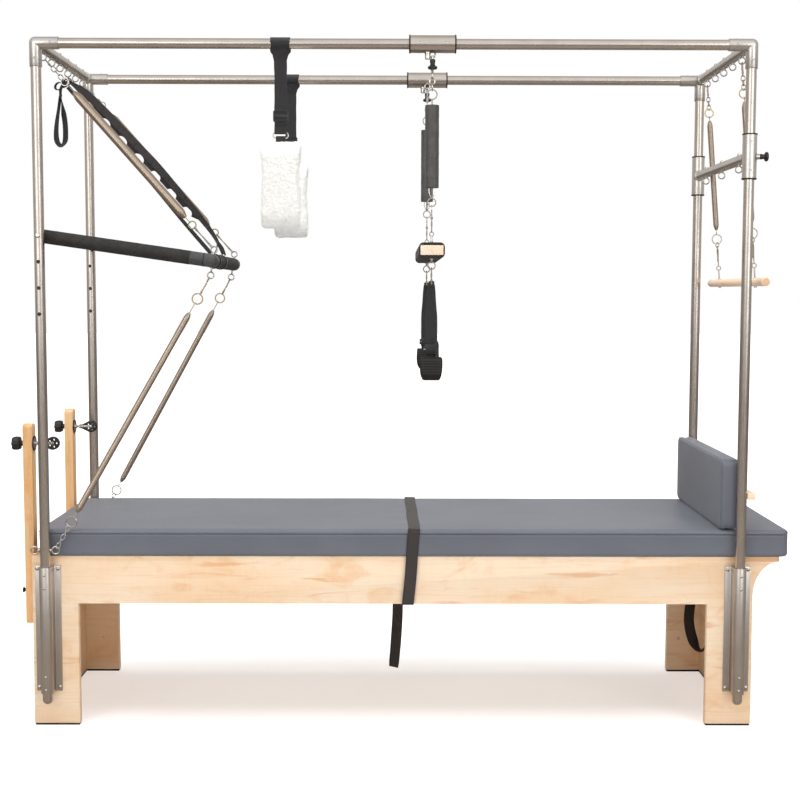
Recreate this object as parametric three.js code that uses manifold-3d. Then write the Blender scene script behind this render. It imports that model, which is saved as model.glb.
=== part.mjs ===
// Pilates trapeze table: a padded plywood table with a steel tube frame over it.
// Millimetres. X runs along the table, Y across it (front is -Y), Z up. The floor is Z = 0.
import * as THREE from "three";
import { mergeVertices } from "three/addons/utils/BufferGeometryUtils.js";
import Module from "manifold-3d";

const wasm = await Module();
wasm.setup();

// Clearances and shared allowances
const gap = 0.3; // between pieces that touch
const slideGap = 0.4; // round a tube that a sleeve slides on
const swingGap = 1.2; // between a hook and the eye it hangs in
const bite = 1; // how far shapes that belong to one piece run into each other
const overrun = 5; // how far a cutting shape runs past the face it opens
const weld = 0.001; // corners closer than this are one corner

// Steel frame
const postSpacingX = 2200;
const postSpacingY = 705;
const railHeight = 2150;
const tubeRadius = 16;
const tubeWall = 2;
const postFoot = 78;
const domeHeight = 14;
const postPlug = 18;
const postTopInset = 22;
const fittingRadius = 19;
const fittingReach = 72;
const fittingSideReach = 50;
const fittingWeb = 10;
const railInset = 20;

// Holes in the frame
const pinRadius = 5;
const pinGap = 1; // round a pin or stud that turns in its hole
const barPivotDrop = 587;
const barPivotHeight = railHeight - barPivotDrop;
const barHoleStep = 81;
const barHoleCount = 4;
const plungerHoleRadius = 4;
const crossbarHoleStep = 100;
const crossbarHoleCount = 4;
const railHoleStep = 237;
const railHoleCount = 8;

// Eyes: ring radius is measured to the middle of the wire
const eyeRing = 10.5;
const eyeWire = 2.1;
const eyeDrop = 28;
const eyeShank = 2.6;
const leftEyeStep = 107;
const leftEyeCount = 6;
const rightEyeStep = 118;
const rightEyeCount = 5;
const crossbarEyeStep = 225;
const crossbarEyeCount = 3;
const baseEyeHeight = 575;
const baseEyeRing = 11.5;
const baseEyeWire = 2.2;
const baseEyeReach = 33;
const baseEyeShank = 4;

// Timber base
const panelTop = 551;
const panelThickness = 27;
const panelInset = 30; // from the post axis to the outer face of a side panel
const railBottom = 397;
const legWidth = 145;
const legOverhang = 51; // from the post axis to the outer edge of a leg
const corbelReach = 82;
const corbelLip = 16;
const corbelDrop = 113;
const endPanelThickness = 25;
const deckThickness = 18;
const deckSetBack = 2;
const baseStrip = 6;
const baseStripInset = 2;

// Post brackets
const bracketTopDrop = 30;
const bracketHeight = 407;
const bracketBottom = panelTop - bracketTopDrop - bracketHeight;
const bracketHalfWidth = 40.5;
const bracketFlange = 5;
const bracketWall = 4;

// Mattress and its strap
const mattressLeft = 1130;
const mattressRight = 1248;
const mattressHalfWidth = 330;
const mattressHeight = 86;
const mattressEdge = 11;
const mattressCrown = 3.5;
const mattressDraw = 1.5;
const strapWidth = 38;
const webbing = 2.2;
const strapSlack = 0.6;
const strapCorner = 5;
const strapTopFront = 67;
const strapTopBack = 59;
const strapBottomFront = 48;
const strapBottomBack = 18;
const tailAcross = 200;
const tailLine = [[23, 396], [17, 290], [12, 170], [2, 42]];
const stowedAcross = 100;
const stowedLine = [
  [1052, 532], [1049, 330], [1043, 235], [1062, 160], [1093, 137], [1112, 200], [1118, 330], [1120, 532],
];

// Backrest
const backrestHalfWidth = 334;
const backrestThickness = 46;
const backrestHeight = 213;
const backrestEdge = 9;
const backrestCrown = 3;
const battenRise = 99.9;
const battenDepth = 24;
const battenTall = 21;
const battenHalfWidth = 365;
const lugAcross = 250;
const lugHalfWidth = 15;

// Adjustable crossbar at the right posts
const crossbarDrop = 339;
const crossbarHeight = railHeight - crossbarDrop;
const crossbarSleeveRadius = 22;
const crossbarSleeveHalf = 66.5;
const endRingRadius = 23.6;
const endRingDepth = 4;
const neckRadius = 8.6;
const crossbarNeckReach = 23;
const plungerPin = 3.5;
const plungerKnobLength = 16;
const plungerFlangeRadius = 14.3;
const plungerFlangeDepth = 10;
const plungerTipGap = 0.6;
const neckBite = 4; // how far a plunger's neck runs into its sleeve

// Trapeze collars
const collarAlong = 118.5;
const collarRadius = 26.7;
const collarHalf = 68.5;
const collarRingRadius = 28.3;
const collarNeckReach = 19;
const collarKnobLength = 20;
const collarEyeRing = 9;
const collarEyeWire = 2.5;
const collarEyeIn = 30;
const collarEyeDrop = 27;

// Trapeze, heights above the floor
const hookWire = 1.9;
const hookHalfWidth = 7;
const hangerTopRing = [2002, 15];
const hangerMidRing = [1670, 12.5];
const hangerSmallRing = [1572, 6.5];
const hangerLowRing = [1474, 11.5];
const hangerRod = 3;
const sleeveRadius = 22;
const sleeveBore = 7;
const sleeveBottom = 1715;
const sleeveTop = 1969;
const seatWidth = 81;
const seatHeight = 49;
const seatMiddle = 1520.5;
const seatHalfLength = 380;
const seatCorner = 15;
const seatWasher = 6.5;
const seatWasherDepth = 3;

// Ankle loops: the heights run down from the eye they hang in
const ankleHookLength = 56;
const ankleWebTop = 52;
const ankleWebWidth = 37;
const ankleWebTopWidthShare = 0.58;
const ankleWebHalfTop = 6;
const ankleWebHalfBottom = 29;
const anklePadTop = 283;
const anklePadBottom = 356;
const anklePadHalf = 39;
const anklePadWall = 14;
const anklePadWidth = 71;

// Fleece loops
const fleeceAlong = [-349, -372];
const railLoopWidth = 60;
const railLoopWall = 3;
const fleeceNeckBottom = 52;
const fleeceWebWidth = 38;
const fleeceWebThickness = 5;
const fleeceWebBottom = 272;
const fleeceBuckleTop = 203;
const fleeceBuckleBottom = 237;
const fleeceBuckleHalfWidth = 23;
const fleeceBuckleDepth = 10;
const dRingHalfWidth = 25;
const dRingHeight = 20;
const dRingWire = 2;
const dRingCorner = 6;
const fleeceDrop = 11;
const fleeceHeight = 267;
const fleeceWidth = 126;
const fleeceHalfDepth = 50;
const fleeceWall = 29;
const fleeceWaistShare = 0.06;
const fleeceCoreShare = 0.84; // of the width, flat between the rounded rims
const fleeceRimShare = 0.08; // of the width, in each rim
const fleeceRoundShare = 0.22; // of the wall, that a rim draws in
const fleeceTabWidth = 30;
const fleeceTabBore = 3.8;
const fleeceTabWall = 2.2;

// Push-through bar
const barAcross = 300;
const barLength = 531;
const barTilt = THREE.MathUtils.degToRad(8.1);
const foamRadius = 22;
const barTail = 22;
const barEyeAcross = 267.5;
const barEyeRing = 10;
const barEyeWire = 2.2;
const barTopEye = 36;
const barLowEye = 46;
const pinHeadRadius = 8;
const pinHeadDepth = 4;

// Springs: distances from the fixed eye as shares of the way to the bar's eye
const upperSpring = {
  coilRadius: 11.2, wire: 2.8, curls: 5, ring: 12, ringShares: [0.127, 0.871], coilShares: [0.165, 0.831],
};
const lowerSpring = {
  coilRadius: 7.6, wire: 2.4, curls: 6, ring: 16.5, ringShares: [0.102, 0.914], coilShares: [0.138, 0.863],
};
const springRingWire = 1.9;

// Roll-down bar
const rollLean = THREE.MathUtils.degToRad(4.75);
const rollDrop = 695;
const rollAcross = 236;
const rollHalfLength = 363;
const rollRadius = 13.6;
const rollBoltRadius = 2.5;
const rollBoltTail = 6;
const rollSpring = { coilRadius: 7.3, wire: 2.2, curls: 5 };
const rollTopRing = [98, 14.5];
const rollCoil = [126, 506];
const rollLowRing = [540, 16.5];
const rollSmallRing = [642, 7];

// Safety strap of the push-through bar
const safetyLegs = [[-240, 14], [-85, 38]]; // where each leg meets the crosspiece, and its width
const safetyTail = 26;
const safetyThickness = 3;
const safetyEyeAcross = 53.5;
const safetyHookLength = 24;
const tailLoopTop = [-1112, 2062];
const tailLoopPoints = [
  tailLoopTop, [-1122, 1990], [-1124, 1915], [-1102, 1862], [-1078, 1892], [-1078, 1960], [-1106, 2052],
];

// Risers and pulleys at the left end
const riserAcross = 270;
const riserDepth = 44;
const riserThickness = 30;
const riserBottom = 326;
const riserTop = 970;
const riserCorner = 11;
const riserStud = 5;
const clampHeight = 430;
const clampTravel = 60;
const clampKnobRadius = 9;
const clampKnobDepth = 13;
const studHeight = 906;
const washerRadius = 24;
const washerDepth = 3;
const swivelReach = 22;
const swivelRod = 4;
const swivelRing = 6;
const swivelWire = 2;
const swivelNeck = 3;
const pulleyTip = 33;
const pulleyTipHalf = 6;
const cheekRadius = 21;
const cheekThickness = 2.5;
const sheaveRadius = 17.5;
const sheaveGroove = 3;
const sheaveHalf = 4;
const sheaveGap = 0.6;
const axleRadius = 4;
const lightHoleRadius = 3.6;
const lightHoleRing = 12;
const lightHoleCount = 5;
const lightHoleSides = 4;
const knobLobes = 6;
const knobRadius = 20.5;
const knobLobe = 2.6;
const knobDepth = 27;
const knobBoss = 8;
const knobBossDepth = 11;
const knobBoreDepth = 22;

// Facets
const tubeSides = 12;
const rodSides = 6;
const smallSides = 6;
const shankSides = 4;
const ringAround = 8;
const smallRing = 7.5;
const ringSides = 4;
const domeSteps = 3;
const hookSteps = 3;
const springSteps = 8;
const springSides = 5;

// Places that several pieces share
const postX = postSpacingX / 2;
const postY = postSpacingY / 2;
const panelFace = postY - panelInset;
const panelInner = panelFace - panelThickness;
const legOuter = postX + legOverhang;
const mattressBottom = panelTop + gap;
const mattressTop = mattressBottom + mattressHeight + mattressCrown;
const upAxis = new THREE.Vector3(0, 1, 0);

// The origin is midway between the star knobs and the mattress's right end
const knobReach = legOuter + riserThickness + gap * 2 + knobBossDepth + knobDepth;
const centring = new THREE.Vector3((knobReach - mattressRight) / 2, 0, 0);

const at = (x, y, z) => new THREE.Vector3(x, y, z);

function solid(geometry) {
  const bare = geometry.index ? geometry.clone() : geometry;
  bare.deleteAttribute("normal");
  bare.deleteAttribute("uv");
  const merged = mergeVertices(bare, weld);
  const corners = merged.index.array;
  const kept = [];
  for (let i = 0; i < corners.length; i += 3) {
    const [a, b, c] = [corners[i], corners[i + 1], corners[i + 2]];
    if (a !== b && b !== c && c !== a) kept.push(a, b, c);
  }
  return new wasm.Manifold(new wasm.Mesh({
    numProp: 3,
    vertProperties: Float32Array.from(merged.attributes.position.array),
    triVerts: Uint32Array.from(kept),
  }));
}

const join = (...bodies) => bodies.flat().reduce((whole, next) => whole.add(next));
const cut = (body, ...tools) => tools.flat().reduce((whole, next) => whole.subtract(next), body);

function geometryOf(body) {
  const mesh = body.getMesh();
  const geometry = new THREE.BufferGeometry();
  geometry.setAttribute("position", new THREE.BufferAttribute(Float32Array.from(mesh.vertProperties), 3));
  geometry.setIndex(new THREE.BufferAttribute(Uint32Array.from(mesh.triVerts), 1));
  geometry.computeVertexNormals();
  return geometry;
}

// A round bar between two points
function rod(radius, start, end, sides = rodSides) {
  const along = end.clone().sub(start);
  const shape = new THREE.CylinderGeometry(radius, radius, along.length(), sides);
  shape.applyQuaternion(new THREE.Quaternion().setFromUnitVectors(upAxis, along.clone().normalize()));
  const middle = start.clone().add(end).multiplyScalar(0.5);
  shape.translate(middle.x, middle.y, middle.z);
  return solid(shape);
}

function block(low, high) {
  const size = high.clone().sub(low);
  const shape = new THREE.BoxGeometry(size.x, size.y, size.z);
  const middle = low.clone().add(high).multiplyScalar(0.5);
  shape.translate(middle.x, middle.y, middle.z);
  return solid(shape);
}

// A wire ring round an axis through its middle
function ring(radius, wire, middle, axis, around = ringAround) {
  const shape = new THREE.TorusGeometry(radius, wire, ringSides, around);
  shape.applyQuaternion(new THREE.Quaternion().setFromUnitVectors(at(0, 0, 1), axis));
  shape.translate(middle.x, middle.y, middle.z);
  return solid(shape);
}

// The clear radius inside a wire ring
const ringHole = (radius, wire) => radius * Math.cos(Math.PI / ringAround) - wire;

// How far below a hook's own origin the underside of its top wire is
const hookSeat = hookHalfWidth - (hookHalfWidth - hookWire) * Math.cos(Math.PI / hookSteps / 2);

// The smallest rings take fewer facets
const roundness = (radius) => (radius > smallRing ? ringAround : smallSides);

// An outline pushed along an axis: along x the outline is (y, z), along y it is (x, z), along z it is (x, y)
function push(shape, low, high, axis, curveSegments = 6) {
  const body = new THREE.ExtrudeGeometry(shape, { depth: high - low, bevelEnabled: false, curveSegments });
  const turn = new THREE.Matrix4();
  if (axis === "x") turn.makeBasis(at(0, 1, 0), at(0, 0, 1), at(1, 0, 0));
  if (axis === "y") turn.makeBasis(at(1, 0, 0), at(0, 0, 1), at(0, -1, 0));
  body.applyMatrix4(turn);
  if (axis === "x") body.translate(low, 0, 0);
  if (axis === "y") body.translate(0, high, 0);
  if (axis === "z") body.translate(0, 0, low);
  return body;
}

function outline(points) {
  const corners = points.map(([u, v]) => new THREE.Vector2(u, v));
  return new THREE.Shape(THREE.ShapeUtils.isClockWise(corners) ? corners.reverse() : corners);
}

function roundedRectangle(left, bottom, right, top, radius) {
  const shape = new THREE.Shape();
  shape.moveTo(left + radius, bottom);
  shape.lineTo(right - radius, bottom);
  shape.absarc(right - radius, bottom + radius, radius, -Math.PI / 2, 0);
  shape.lineTo(right, top - radius);
  shape.absarc(right - radius, top - radius, radius, 0, Math.PI / 2);
  shape.lineTo(left + radius, top);
  shape.absarc(left + radius, top - radius, radius, Math.PI / 2, Math.PI);
  shape.lineTo(left, bottom + radius);
  shape.absarc(left + radius, bottom + radius, radius, Math.PI, Math.PI * 1.5);
  return shape;
}

function circlePath(u, v, radius) {
  const path = new THREE.Path();
  path.absarc(u, v, radius, 0, Math.PI * 2, true);
  return path;
}

// The outline of a band of even thickness laid along a smooth line of points
function bandOutline(points, thickness, steps, closed = false) {
  const line = new THREE.CatmullRomCurve3(points.map(([u, v]) => at(u, v, 0)), closed);
  const sides = [1, -1].map((side) => {
    const edge = [];
    for (let i = 0; i <= steps - (closed ? 1 : 0); i += 1) {
      const place = line.getPointAt(i / steps);
      const run = line.getTangentAt(i / steps);
      edge.push([place.x - (side * run.y * thickness) / 2, place.y + (side * run.x * thickness) / 2]);
    }
    return edge;
  });
  if (!closed) return outline([...sides[0], ...sides[1].reverse()]);
  const area = (edge) => Math.abs(THREE.ShapeUtils.area(edge.map(([u, v]) => new THREE.Vector2(u, v))));
  const [outer, inner] = area(sides[0]) > area(sides[1]) ? sides : sides.reverse();
  const shape = outline(outer);
  shape.holes.push(new THREE.Path(inner.map(([u, v]) => new THREE.Vector2(u, v))));
  return shape;
}

// A long closed hook of square wire that hangs down from the origin in the YZ plane.
// The origin is the middle of its top wire.
function hook(length, halfWidth = hookHalfWidth, wire = hookWire) {
  const bow = (reach) => {
    const points = [];
    for (let i = 0; i <= hookSteps; i += 1) {
      const angle = (i / hookSteps) * Math.PI;
      points.push([reach * Math.cos(angle), reach * Math.sin(angle) - halfWidth]);
    }
    return outline([...points, ...points.map(([u, v]) => [-u, -length - v])]);
  };
  const shape = bow(halfWidth + wire);
  shape.holes.push(new THREE.Path(bow(halfWidth - wire).getPoints()));
  return push(shape, -wire, wire, "x");
}

// A coil spring's wire along -Z: straight run from the start to the first curl, curls that open out
// and close in again, straight run from the last curl to the end
function springWire({ coilRadius, wire, curls }, [start, first, last, end]) {
  const points = [at(0, 0, -start), at(0, 0, -first)];
  const total = curls * springSteps;
  for (let i = 1; i < total; i += 1) {
    const turn = (i / springSteps) * Math.PI * 2;
    const radius = coilRadius * Math.min(1, i / springSteps, (total - i) / springSteps);
    const down = THREE.MathUtils.lerp(-first, -last, i / total);
    points.push(at(radius * Math.cos(turn), radius * Math.sin(turn), down));
  }
  points.push(at(0, 0, -last), at(0, 0, -end));
  const path = new THREE.CatmullRomCurve3(points);
  const section = new THREE.Shape();
  for (let i = 0; i < springSides; i += 1) {
    const angle = (i / springSides) * Math.PI * 2;
    if (i === 0) section.moveTo(wire, 0);
    else section.lineTo(wire * Math.cos(angle), wire * Math.sin(angle));
  }
  const apart = leastGap(points, wire);
  console.log(`least gap of a spring's wire to itself: ${apart.toFixed(1)} mm`);
  return new THREE.ExtrudeGeometry(section, { extrudePath: path, steps: points.length, bevelEnabled: false });
}

// The least clear distance between stretches of one wire that are over half a curl apart
function leastGap(points, wire) {
  let least = Infinity;
  for (let i = 0; i < points.length; i += 1) {
    for (let j = i + springSteps / 2 + 1; j < points.length; j += 1) {
      least = Math.min(least, points[i].distanceTo(points[j]) - wire * 2);
    }
  }
  return least;
}

// A padded block with rounded edges, a crowned top and drawn-in sides, centred on X and Y, base at Z = 0
function cushion(length, width, height, edge, crown, draw, counts) {
  const shape = new THREE.BoxGeometry(2, 2, 2, ...counts);
  const half = [length / 2, width / 2, height / 2];
  const place = shape.attributes.position;
  for (let i = 0; i < place.count; i += 1) {
    const raw = [place.getX(i), place.getY(i), place.getZ(i)];
    const grid = raw.map((value, axis) => edgeGrid(value, half[axis], edge, counts[axis]));
    const inner = grid.map((value, axis) => {
      const flat = half[axis] - edge;
      return THREE.MathUtils.clamp(value, -flat, flat);
    });
    const out = grid.map((value, axis) => value - inner[axis]);
    const far = Math.max(...out.map(Math.abs));
    const size = Math.hypot(...out) || 1;
    const round = inner.map((value, axis) => value + (out[axis] * far) / size);
    const spanX = 1 - (round[0] / half[0]) ** 2;
    const spanY = 1 - (round[1] / half[1]) ** 2;
    const spanZ = 1 - (round[2] / half[2]) ** 2;
    if (round[2] > 0) round[2] += crown * Math.sqrt(Math.max(0, spanX * spanY));
    round[0] -= Math.sign(round[0]) * draw * spanZ * (Math.abs(raw[0]) === 1 ? 1 : 0);
    round[1] -= Math.sign(round[1]) * draw * spanZ * (Math.abs(raw[1]) === 1 ? 1 : 0);
    place.setXYZ(i, round[0], round[1], round[2] + half[2]);
  }
  return shape;
}

// Even steps between the rounded edges, two steps across each edge
function edgeGrid(value, half, edge, count) {
  const step = Math.round(((value + 1) / 2) * count);
  if (step <= 2) return -half + (edge * step) / 2;
  if (step >= count - 2) return half - (edge * (count - step)) / 2;
  return edge - half + ((half - edge) * 2 * (step - 2)) / (count - 4);
}

function look(color, metalness, roughness) {
  return () => new THREE.MeshStandardMaterial({ color, metalness, roughness });
}

const steel = look(0xb9b4ae, 1, 0.3);
const brightSteel = look(0xd4d2cf, 1, 0.22);
const aluminium = look(0xa9a7a3, 0.9, 0.45);
const birch = look(0xe2bd8c, 0, 0.5);
const blackPlastic = look(0x161616, 0, 0.45);
const blackWebbing = look(0x141414, 0, 0.85);
const blackFoam = look(0x1c1c1c, 0, 0.8);
const greyVinyl = look(0x6d7078, 0, 0.5);
const fleece = look(0xf4f2ea, 0, 0.95);
const seatLeather = look(0x4a3327, 0, 0.6);

const table = new THREE.Group();
table.name = "pilates_trapeze_table";

function add(name, body, material, position = at(0, 0, 0), turn = new THREE.Quaternion()) {
  const geometry = body.getMesh ? geometryOf(body) : geometryOf(solid(body));
  const mesh = new THREE.Mesh(geometry, material());
  mesh.name = name;
  mesh.position.copy(position).add(centring);
  mesh.quaternion.copy(turn);
  table.add(mesh);
}

const sides = [["front", -1], ["back", 1]];
const ends = [["left", -1], ["right", 1]];

// Side panel: rail, two legs and the coved corbel that carries the overhanging right end
function sidePanel(side) {
  const foot = baseStrip + gap;
  const tip = legOuter + corbelReach;
  const shape = new THREE.Shape();
  shape.moveTo(-legOuter, foot);
  shape.lineTo(legWidth - legOuter, foot);
  shape.lineTo(legWidth - legOuter, railBottom);
  shape.lineTo(legOuter - legWidth, railBottom);
  shape.lineTo(legOuter - legWidth, foot);
  shape.lineTo(legOuter, foot);
  const lipBottom = panelTop - corbelLip;
  shape.absellipse(tip, lipBottom - corbelDrop, corbelReach, corbelDrop, Math.PI, Math.PI / 2, true);
  shape.lineTo(tip, panelTop);
  shape.lineTo(-legOuter, panelTop);
  const faces = [side * panelFace, side * panelInner].sort((a, b) => a - b);
  return push(shape, faces[0], faces[1], "y", 8);
}

// End panel with the black strip that runs under it and under both legs
function endPanel(end) {
  const outer = end * legOuter;
  const inner = outer - end * endPanelThickness;
  const spanX = [inner, outer].sort((a, b) => a - b);
  const board = block(
    at(spanX[0], gap - panelInner, baseStrip - bite),
    at(spanX[1], panelInner - gap, panelTop - deckThickness - gap),
  );
  const rim = outer - end * baseStripInset;
  const heel = outer - end * (legWidth - baseStripInset);
  const stripX = [rim, heel].sort((a, b) => a - b);
  const cross = [rim, inner].sort((a, b) => a - b);
  const stripOuter = panelFace - baseStripInset;
  const strips = sides.map(([, side]) => {
    const faces = [side * stripOuter, side * (panelInner - bite)].sort((a, b) => a - b);
    return block(at(stripX[0], faces[0], 0), at(stripX[1], faces[1], baseStrip));
  });
  const bridge = block(at(cross[0], -panelInner, 0), at(cross[1], panelInner, baseStrip));
  return join(board, bridge, strips);
}

// Clamp stud and knob that hold a riser against the left end panel
function riserClamp(side) {
  const outer = legOuter + gap + riserThickness + gap;
  const across = side * riserAcross;
  return join(
    rod(riserStud, at(bite - legOuter, across, clampHeight), at(-outer - bite, across, clampHeight)),
    rod(clampKnobRadius, at(-outer, across, clampHeight), at(-outer - clampKnobDepth, across, clampHeight)),
  );
}

for (const [name, side] of sides) add(`side_panel_${name}`, sidePanel(side), birch);
add("end_panel_left", join(endPanel(-1), sides.map(([, side]) => riserClamp(side))), birch);
add("end_panel_right", endPanel(1), birch);
add("deck_board", block(
  at(-legOuter, gap - panelInner, panelTop - deckThickness),
  at(legOuter + corbelReach - deckSetBack, panelInner - gap, panelTop),
), birch);

// Mattress and the webbing strap that holds it down
const mattressLength = mattressLeft + mattressRight;
add("mattress", cushion(
  mattressLength, mattressHalfWidth * 2, mattressHeight, mattressEdge, mattressCrown, mattressDraw, [8, 6, 5],
), greyVinyl, at((mattressRight - mattressLeft) / 2, 0, mattressBottom));

function mattressStrap() {
  const reach = mattressHalfWidth + strapSlack;
  const low = railBottom - strapSlack;
  const high = mattressTop + strapSlack;
  const shape = roundedRectangle(
    -reach - webbing, low - webbing, reach + webbing, high + webbing, strapCorner + webbing,
  );
  shape.holes.push(new THREE.Path(roundedRectangle(-reach, low, reach, high, strapCorner).getPoints(1)));
  const loop = push(shape, -strapWidth / 2, strapWidth / 2, "x", 1);
  const place = loop.attributes.position;
  for (let i = 0; i < place.count; i += 1) {
    const across = (place.getY(i) + reach) / (reach * 2);
    const rise = (place.getZ(i) - low) / (high - low);
    const top = THREE.MathUtils.lerp(strapTopFront, strapTopBack, across);
    const bottom = THREE.MathUtils.lerp(strapBottomFront, strapBottomBack, across);
    place.setX(i, place.getX(i) + THREE.MathUtils.lerp(bottom, top, rise));
  }
  const tail = push(bandOutline(tailLine, strapWidth, 5), tailAcross, tailAcross + webbing, "y");
  return join(solid(loop), solid(tail));
}

add("mattress_strap", mattressStrap(), blackWebbing);
add("stowed_strap", push(
  bandOutline(stowedLine, webbing, 11), stowedAcross - strapWidth / 2, stowedAcross + strapWidth / 2, "y",
), blackWebbing);

// Backrest: a pad against the inner sides of the right posts and a batten behind them
const backrestFace = postX - tubeRadius - gap;
const backrestBottom = mattressTop + gap;
const battenHeight = backrestBottom + battenRise;
const backrestTurn = new THREE.Quaternion().setFromAxisAngle(upAxis, -Math.PI / 2);
const backrestDepth = backrestThickness - backrestCrown;
add("backrest_pad", cushion(
  backrestHeight, backrestHalfWidth * 2, backrestDepth, backrestEdge, backrestCrown, 0, [5, 6, 5],
), greyVinyl, at(backrestFace, 0, backrestBottom + backrestHeight / 2), backrestTurn);

function backrestBatten() {
  const near = postX + tubeRadius + gap;
  const bar = block(
    at(near, -battenHalfWidth, battenHeight),
    at(near + battenDepth, battenHalfWidth, battenHeight + battenTall),
  );
  const lugs = sides.map(([, side]) => block(
    at(backrestFace + gap, side * lugAcross - lugHalfWidth, battenHeight),
    at(near + bite, side * lugAcross + lugHalfWidth, battenHeight + battenTall),
  ));
  return join(bar, lugs);
}

add("backrest_batten", backrestBatten(), birch);

// Post: tube with a domed foot, on its own axis with the foot's tip at the origin
function postTube() {
  const height = railHeight - postTopInset - postFoot;
  const inner = tubeRadius - tubeWall;
  const profile = [];
  for (let i = 0; i <= domeSteps; i += 1) {
    const angle = (i / domeSteps) * (Math.PI / 2);
    profile.push(new THREE.Vector2(tubeRadius * Math.sin(angle), domeHeight * (1 - Math.cos(angle))));
  }
  profile.push(new THREE.Vector2(tubeRadius, height));
  profile.push(new THREE.Vector2(inner, height));
  profile.push(new THREE.Vector2(inner, postPlug));
  profile.push(new THREE.Vector2(0, postPlug));
  return solid(new THREE.LatheGeometry(profile, tubeSides).rotateX(Math.PI / 2));
}

// Left post: cross holes for the push-through bar and the eyes that the lower springs hook into
function leftPost() {
  const holes = [];
  const reach = tubeRadius + overrun;
  for (let i = 0; i < barHoleCount; i += 1) {
    const height = barPivotHeight - i * barHoleStep - postFoot;
    holes.push(rod(pinRadius + pinGap, at(0, -reach, height), at(0, reach, height)));
  }
  const height = baseEyeHeight - postFoot;
  const rings = ends.map(
    ([, end]) => ring(baseEyeRing, baseEyeWire, at(end * baseEyeReach, 0, height), upAxis),
  );
  const shank = baseEyeReach - baseEyeRing;
  return join(
    cut(postTube(), holes), rings,
    rod(baseEyeShank, at(-shank, 0, height), at(shank, 0, height), shankSides),
  );
}

// Right post: holes on its outer side for the crossbar's plunger
function rightPost() {
  const holes = [];
  for (let i = 0; i < crossbarHoleCount; i += 1) {
    const height = crossbarHeight - i * crossbarHoleStep - postFoot;
    holes.push(rod(plungerHoleRadius, at(0, 0, height), at(tubeRadius + overrun, 0, height), smallSides));
  }
  return cut(postTube(), holes);
}

// Bracket: an aluminium section with two flanges on the leg and a saddle round the post
function postBracket(side) {
  const bore = tubeRadius + gap;
  const outer = bore + bracketWall;
  const back = gap - panelInset;
  const shape = new THREE.Shape();
  shape.moveTo(-bracketHalfWidth, back);
  shape.lineTo(-bore, back);
  shape.lineTo(-bore, 0);
  shape.absarc(0, 0, bore, Math.PI, 0, true);
  shape.lineTo(bore, back);
  shape.lineTo(bracketHalfWidth, back);
  shape.lineTo(bracketHalfWidth, back + bracketFlange);
  shape.lineTo(outer, back + bracketFlange);
  shape.lineTo(outer, 0);
  shape.absarc(0, 0, outer, 0, Math.PI);
  shape.lineTo(-outer, back + bracketFlange);
  shape.lineTo(-bracketHalfWidth, back + bracketFlange);
  const body = push(shape, 0, bracketHeight, "z", 3);
  if (side < 0) body.rotateZ(Math.PI);
  return body;
}

for (const [endName, end] of ends) {
  for (const [sideName, side] of sides) {
    const post = end < 0 ? leftPost() : rightPost();
    const foot = at(end * postX, side * postY, postFoot);
    const saddle = at(end * postX, side * postY, bracketBottom);
    add(`post_${sideName}_${endName}`, post, steel, foot);
    add(`bracket_${sideName}_${endName}`, postBracket(side), aluminium, saddle);
  }
}

// Top rail, its ends in the corner fittings' sockets, drilled below for the collars' plungers
function topRail() {
  const reach = postX - railInset - gap;
  const holes = [];
  for (let i = 0; i < railHoleCount; i += 1) {
    const along = (i - (railHoleCount - 1) / 2) * railHoleStep;
    holes.push(rod(plungerHoleRadius, at(along, 0, 0), at(along, 0, -tubeRadius - overrun), smallSides));
  }
  return cut(
    rod(tubeRadius, at(-reach, 0, 0), at(reach, 0, 0), tubeSides),
    rod(tubeRadius - tubeWall, at(-reach - overrun, 0, 0), at(reach + overrun, 0, 0), tubeSides),
    holes,
  );
}

for (const [name, side] of sides) {
  add(`top_rail_${name}`, topRail(), steel, at(0, side * postY, railHeight));
}

// Eye screws in a cross tube: rings below it on short shanks
function eyeBolts(count, step) {
  const bolts = [];
  for (let i = 0; i < count; i += 1) {
    const across = (i - (count - 1) / 2) * step;
    bolts.push(
      ring(eyeRing, eyeWire, at(0, across, -eyeDrop), upAxis),
      rod(eyeShank, at(0, across, eyeRing - eyeDrop), at(0, across, tubeWall / 2 - tubeRadius), shankSides),
    );
  }
  return bolts;
}

// Three-way corner fitting about the middle of an end bar
function cornerFitting(end, side) {
  const corner = at(0, side * postY, 0);
  const ball = new THREE.SphereGeometry(fittingRadius, tubeSides, tubeSides / 2);
  ball.translate(corner.x, corner.y, corner.z);
  return join(
    rod(fittingRadius, corner, at(-end * fittingReach, corner.y, 0), tubeSides),
    rod(fittingRadius, corner, at(0, corner.y, -fittingReach), tubeSides),
    rod(fittingRadius, corner, at(0, side * (postY - fittingSideReach), 0), tubeSides),
    solid(ball),
  );
}

// The fitting's sockets, for the post below and the rail beside it
function cornerSockets(end, side) {
  const bore = tubeRadius + gap;
  const across = side * postY;
  const low = -fittingReach - overrun;
  return join(
    rod(bore, at(0, across, -fittingWeb), at(0, across, low), tubeSides),
    rod(bore, at(end * (gap - railInset), across, 0), at(end * low, across, 0), tubeSides),
  );
}

// End bar with the corner fittings it joins
function endBar(end, count, step) {
  const corners = [at(0, -postY, 0), at(0, postY, 0)];
  const fittings = sides.map(([, side]) => cornerFitting(end, side));
  const sockets = sides.map(([, side]) => cornerSockets(end, side));
  const bar = cut(
    join(rod(tubeRadius, ...corners, tubeSides), fittings),
    rod(tubeRadius - tubeWall, ...corners, tubeSides),
    sockets,
  );
  return join(bar, eyeBolts(count, step));
}

add("end_bar_left", endBar(-1, leftEyeCount, leftEyeStep), aluminium, at(-postX, 0, railHeight));
add("end_bar_right", endBar(1, rightEyeCount, rightEyeStep), aluminium, at(postX, 0, railHeight));

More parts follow.
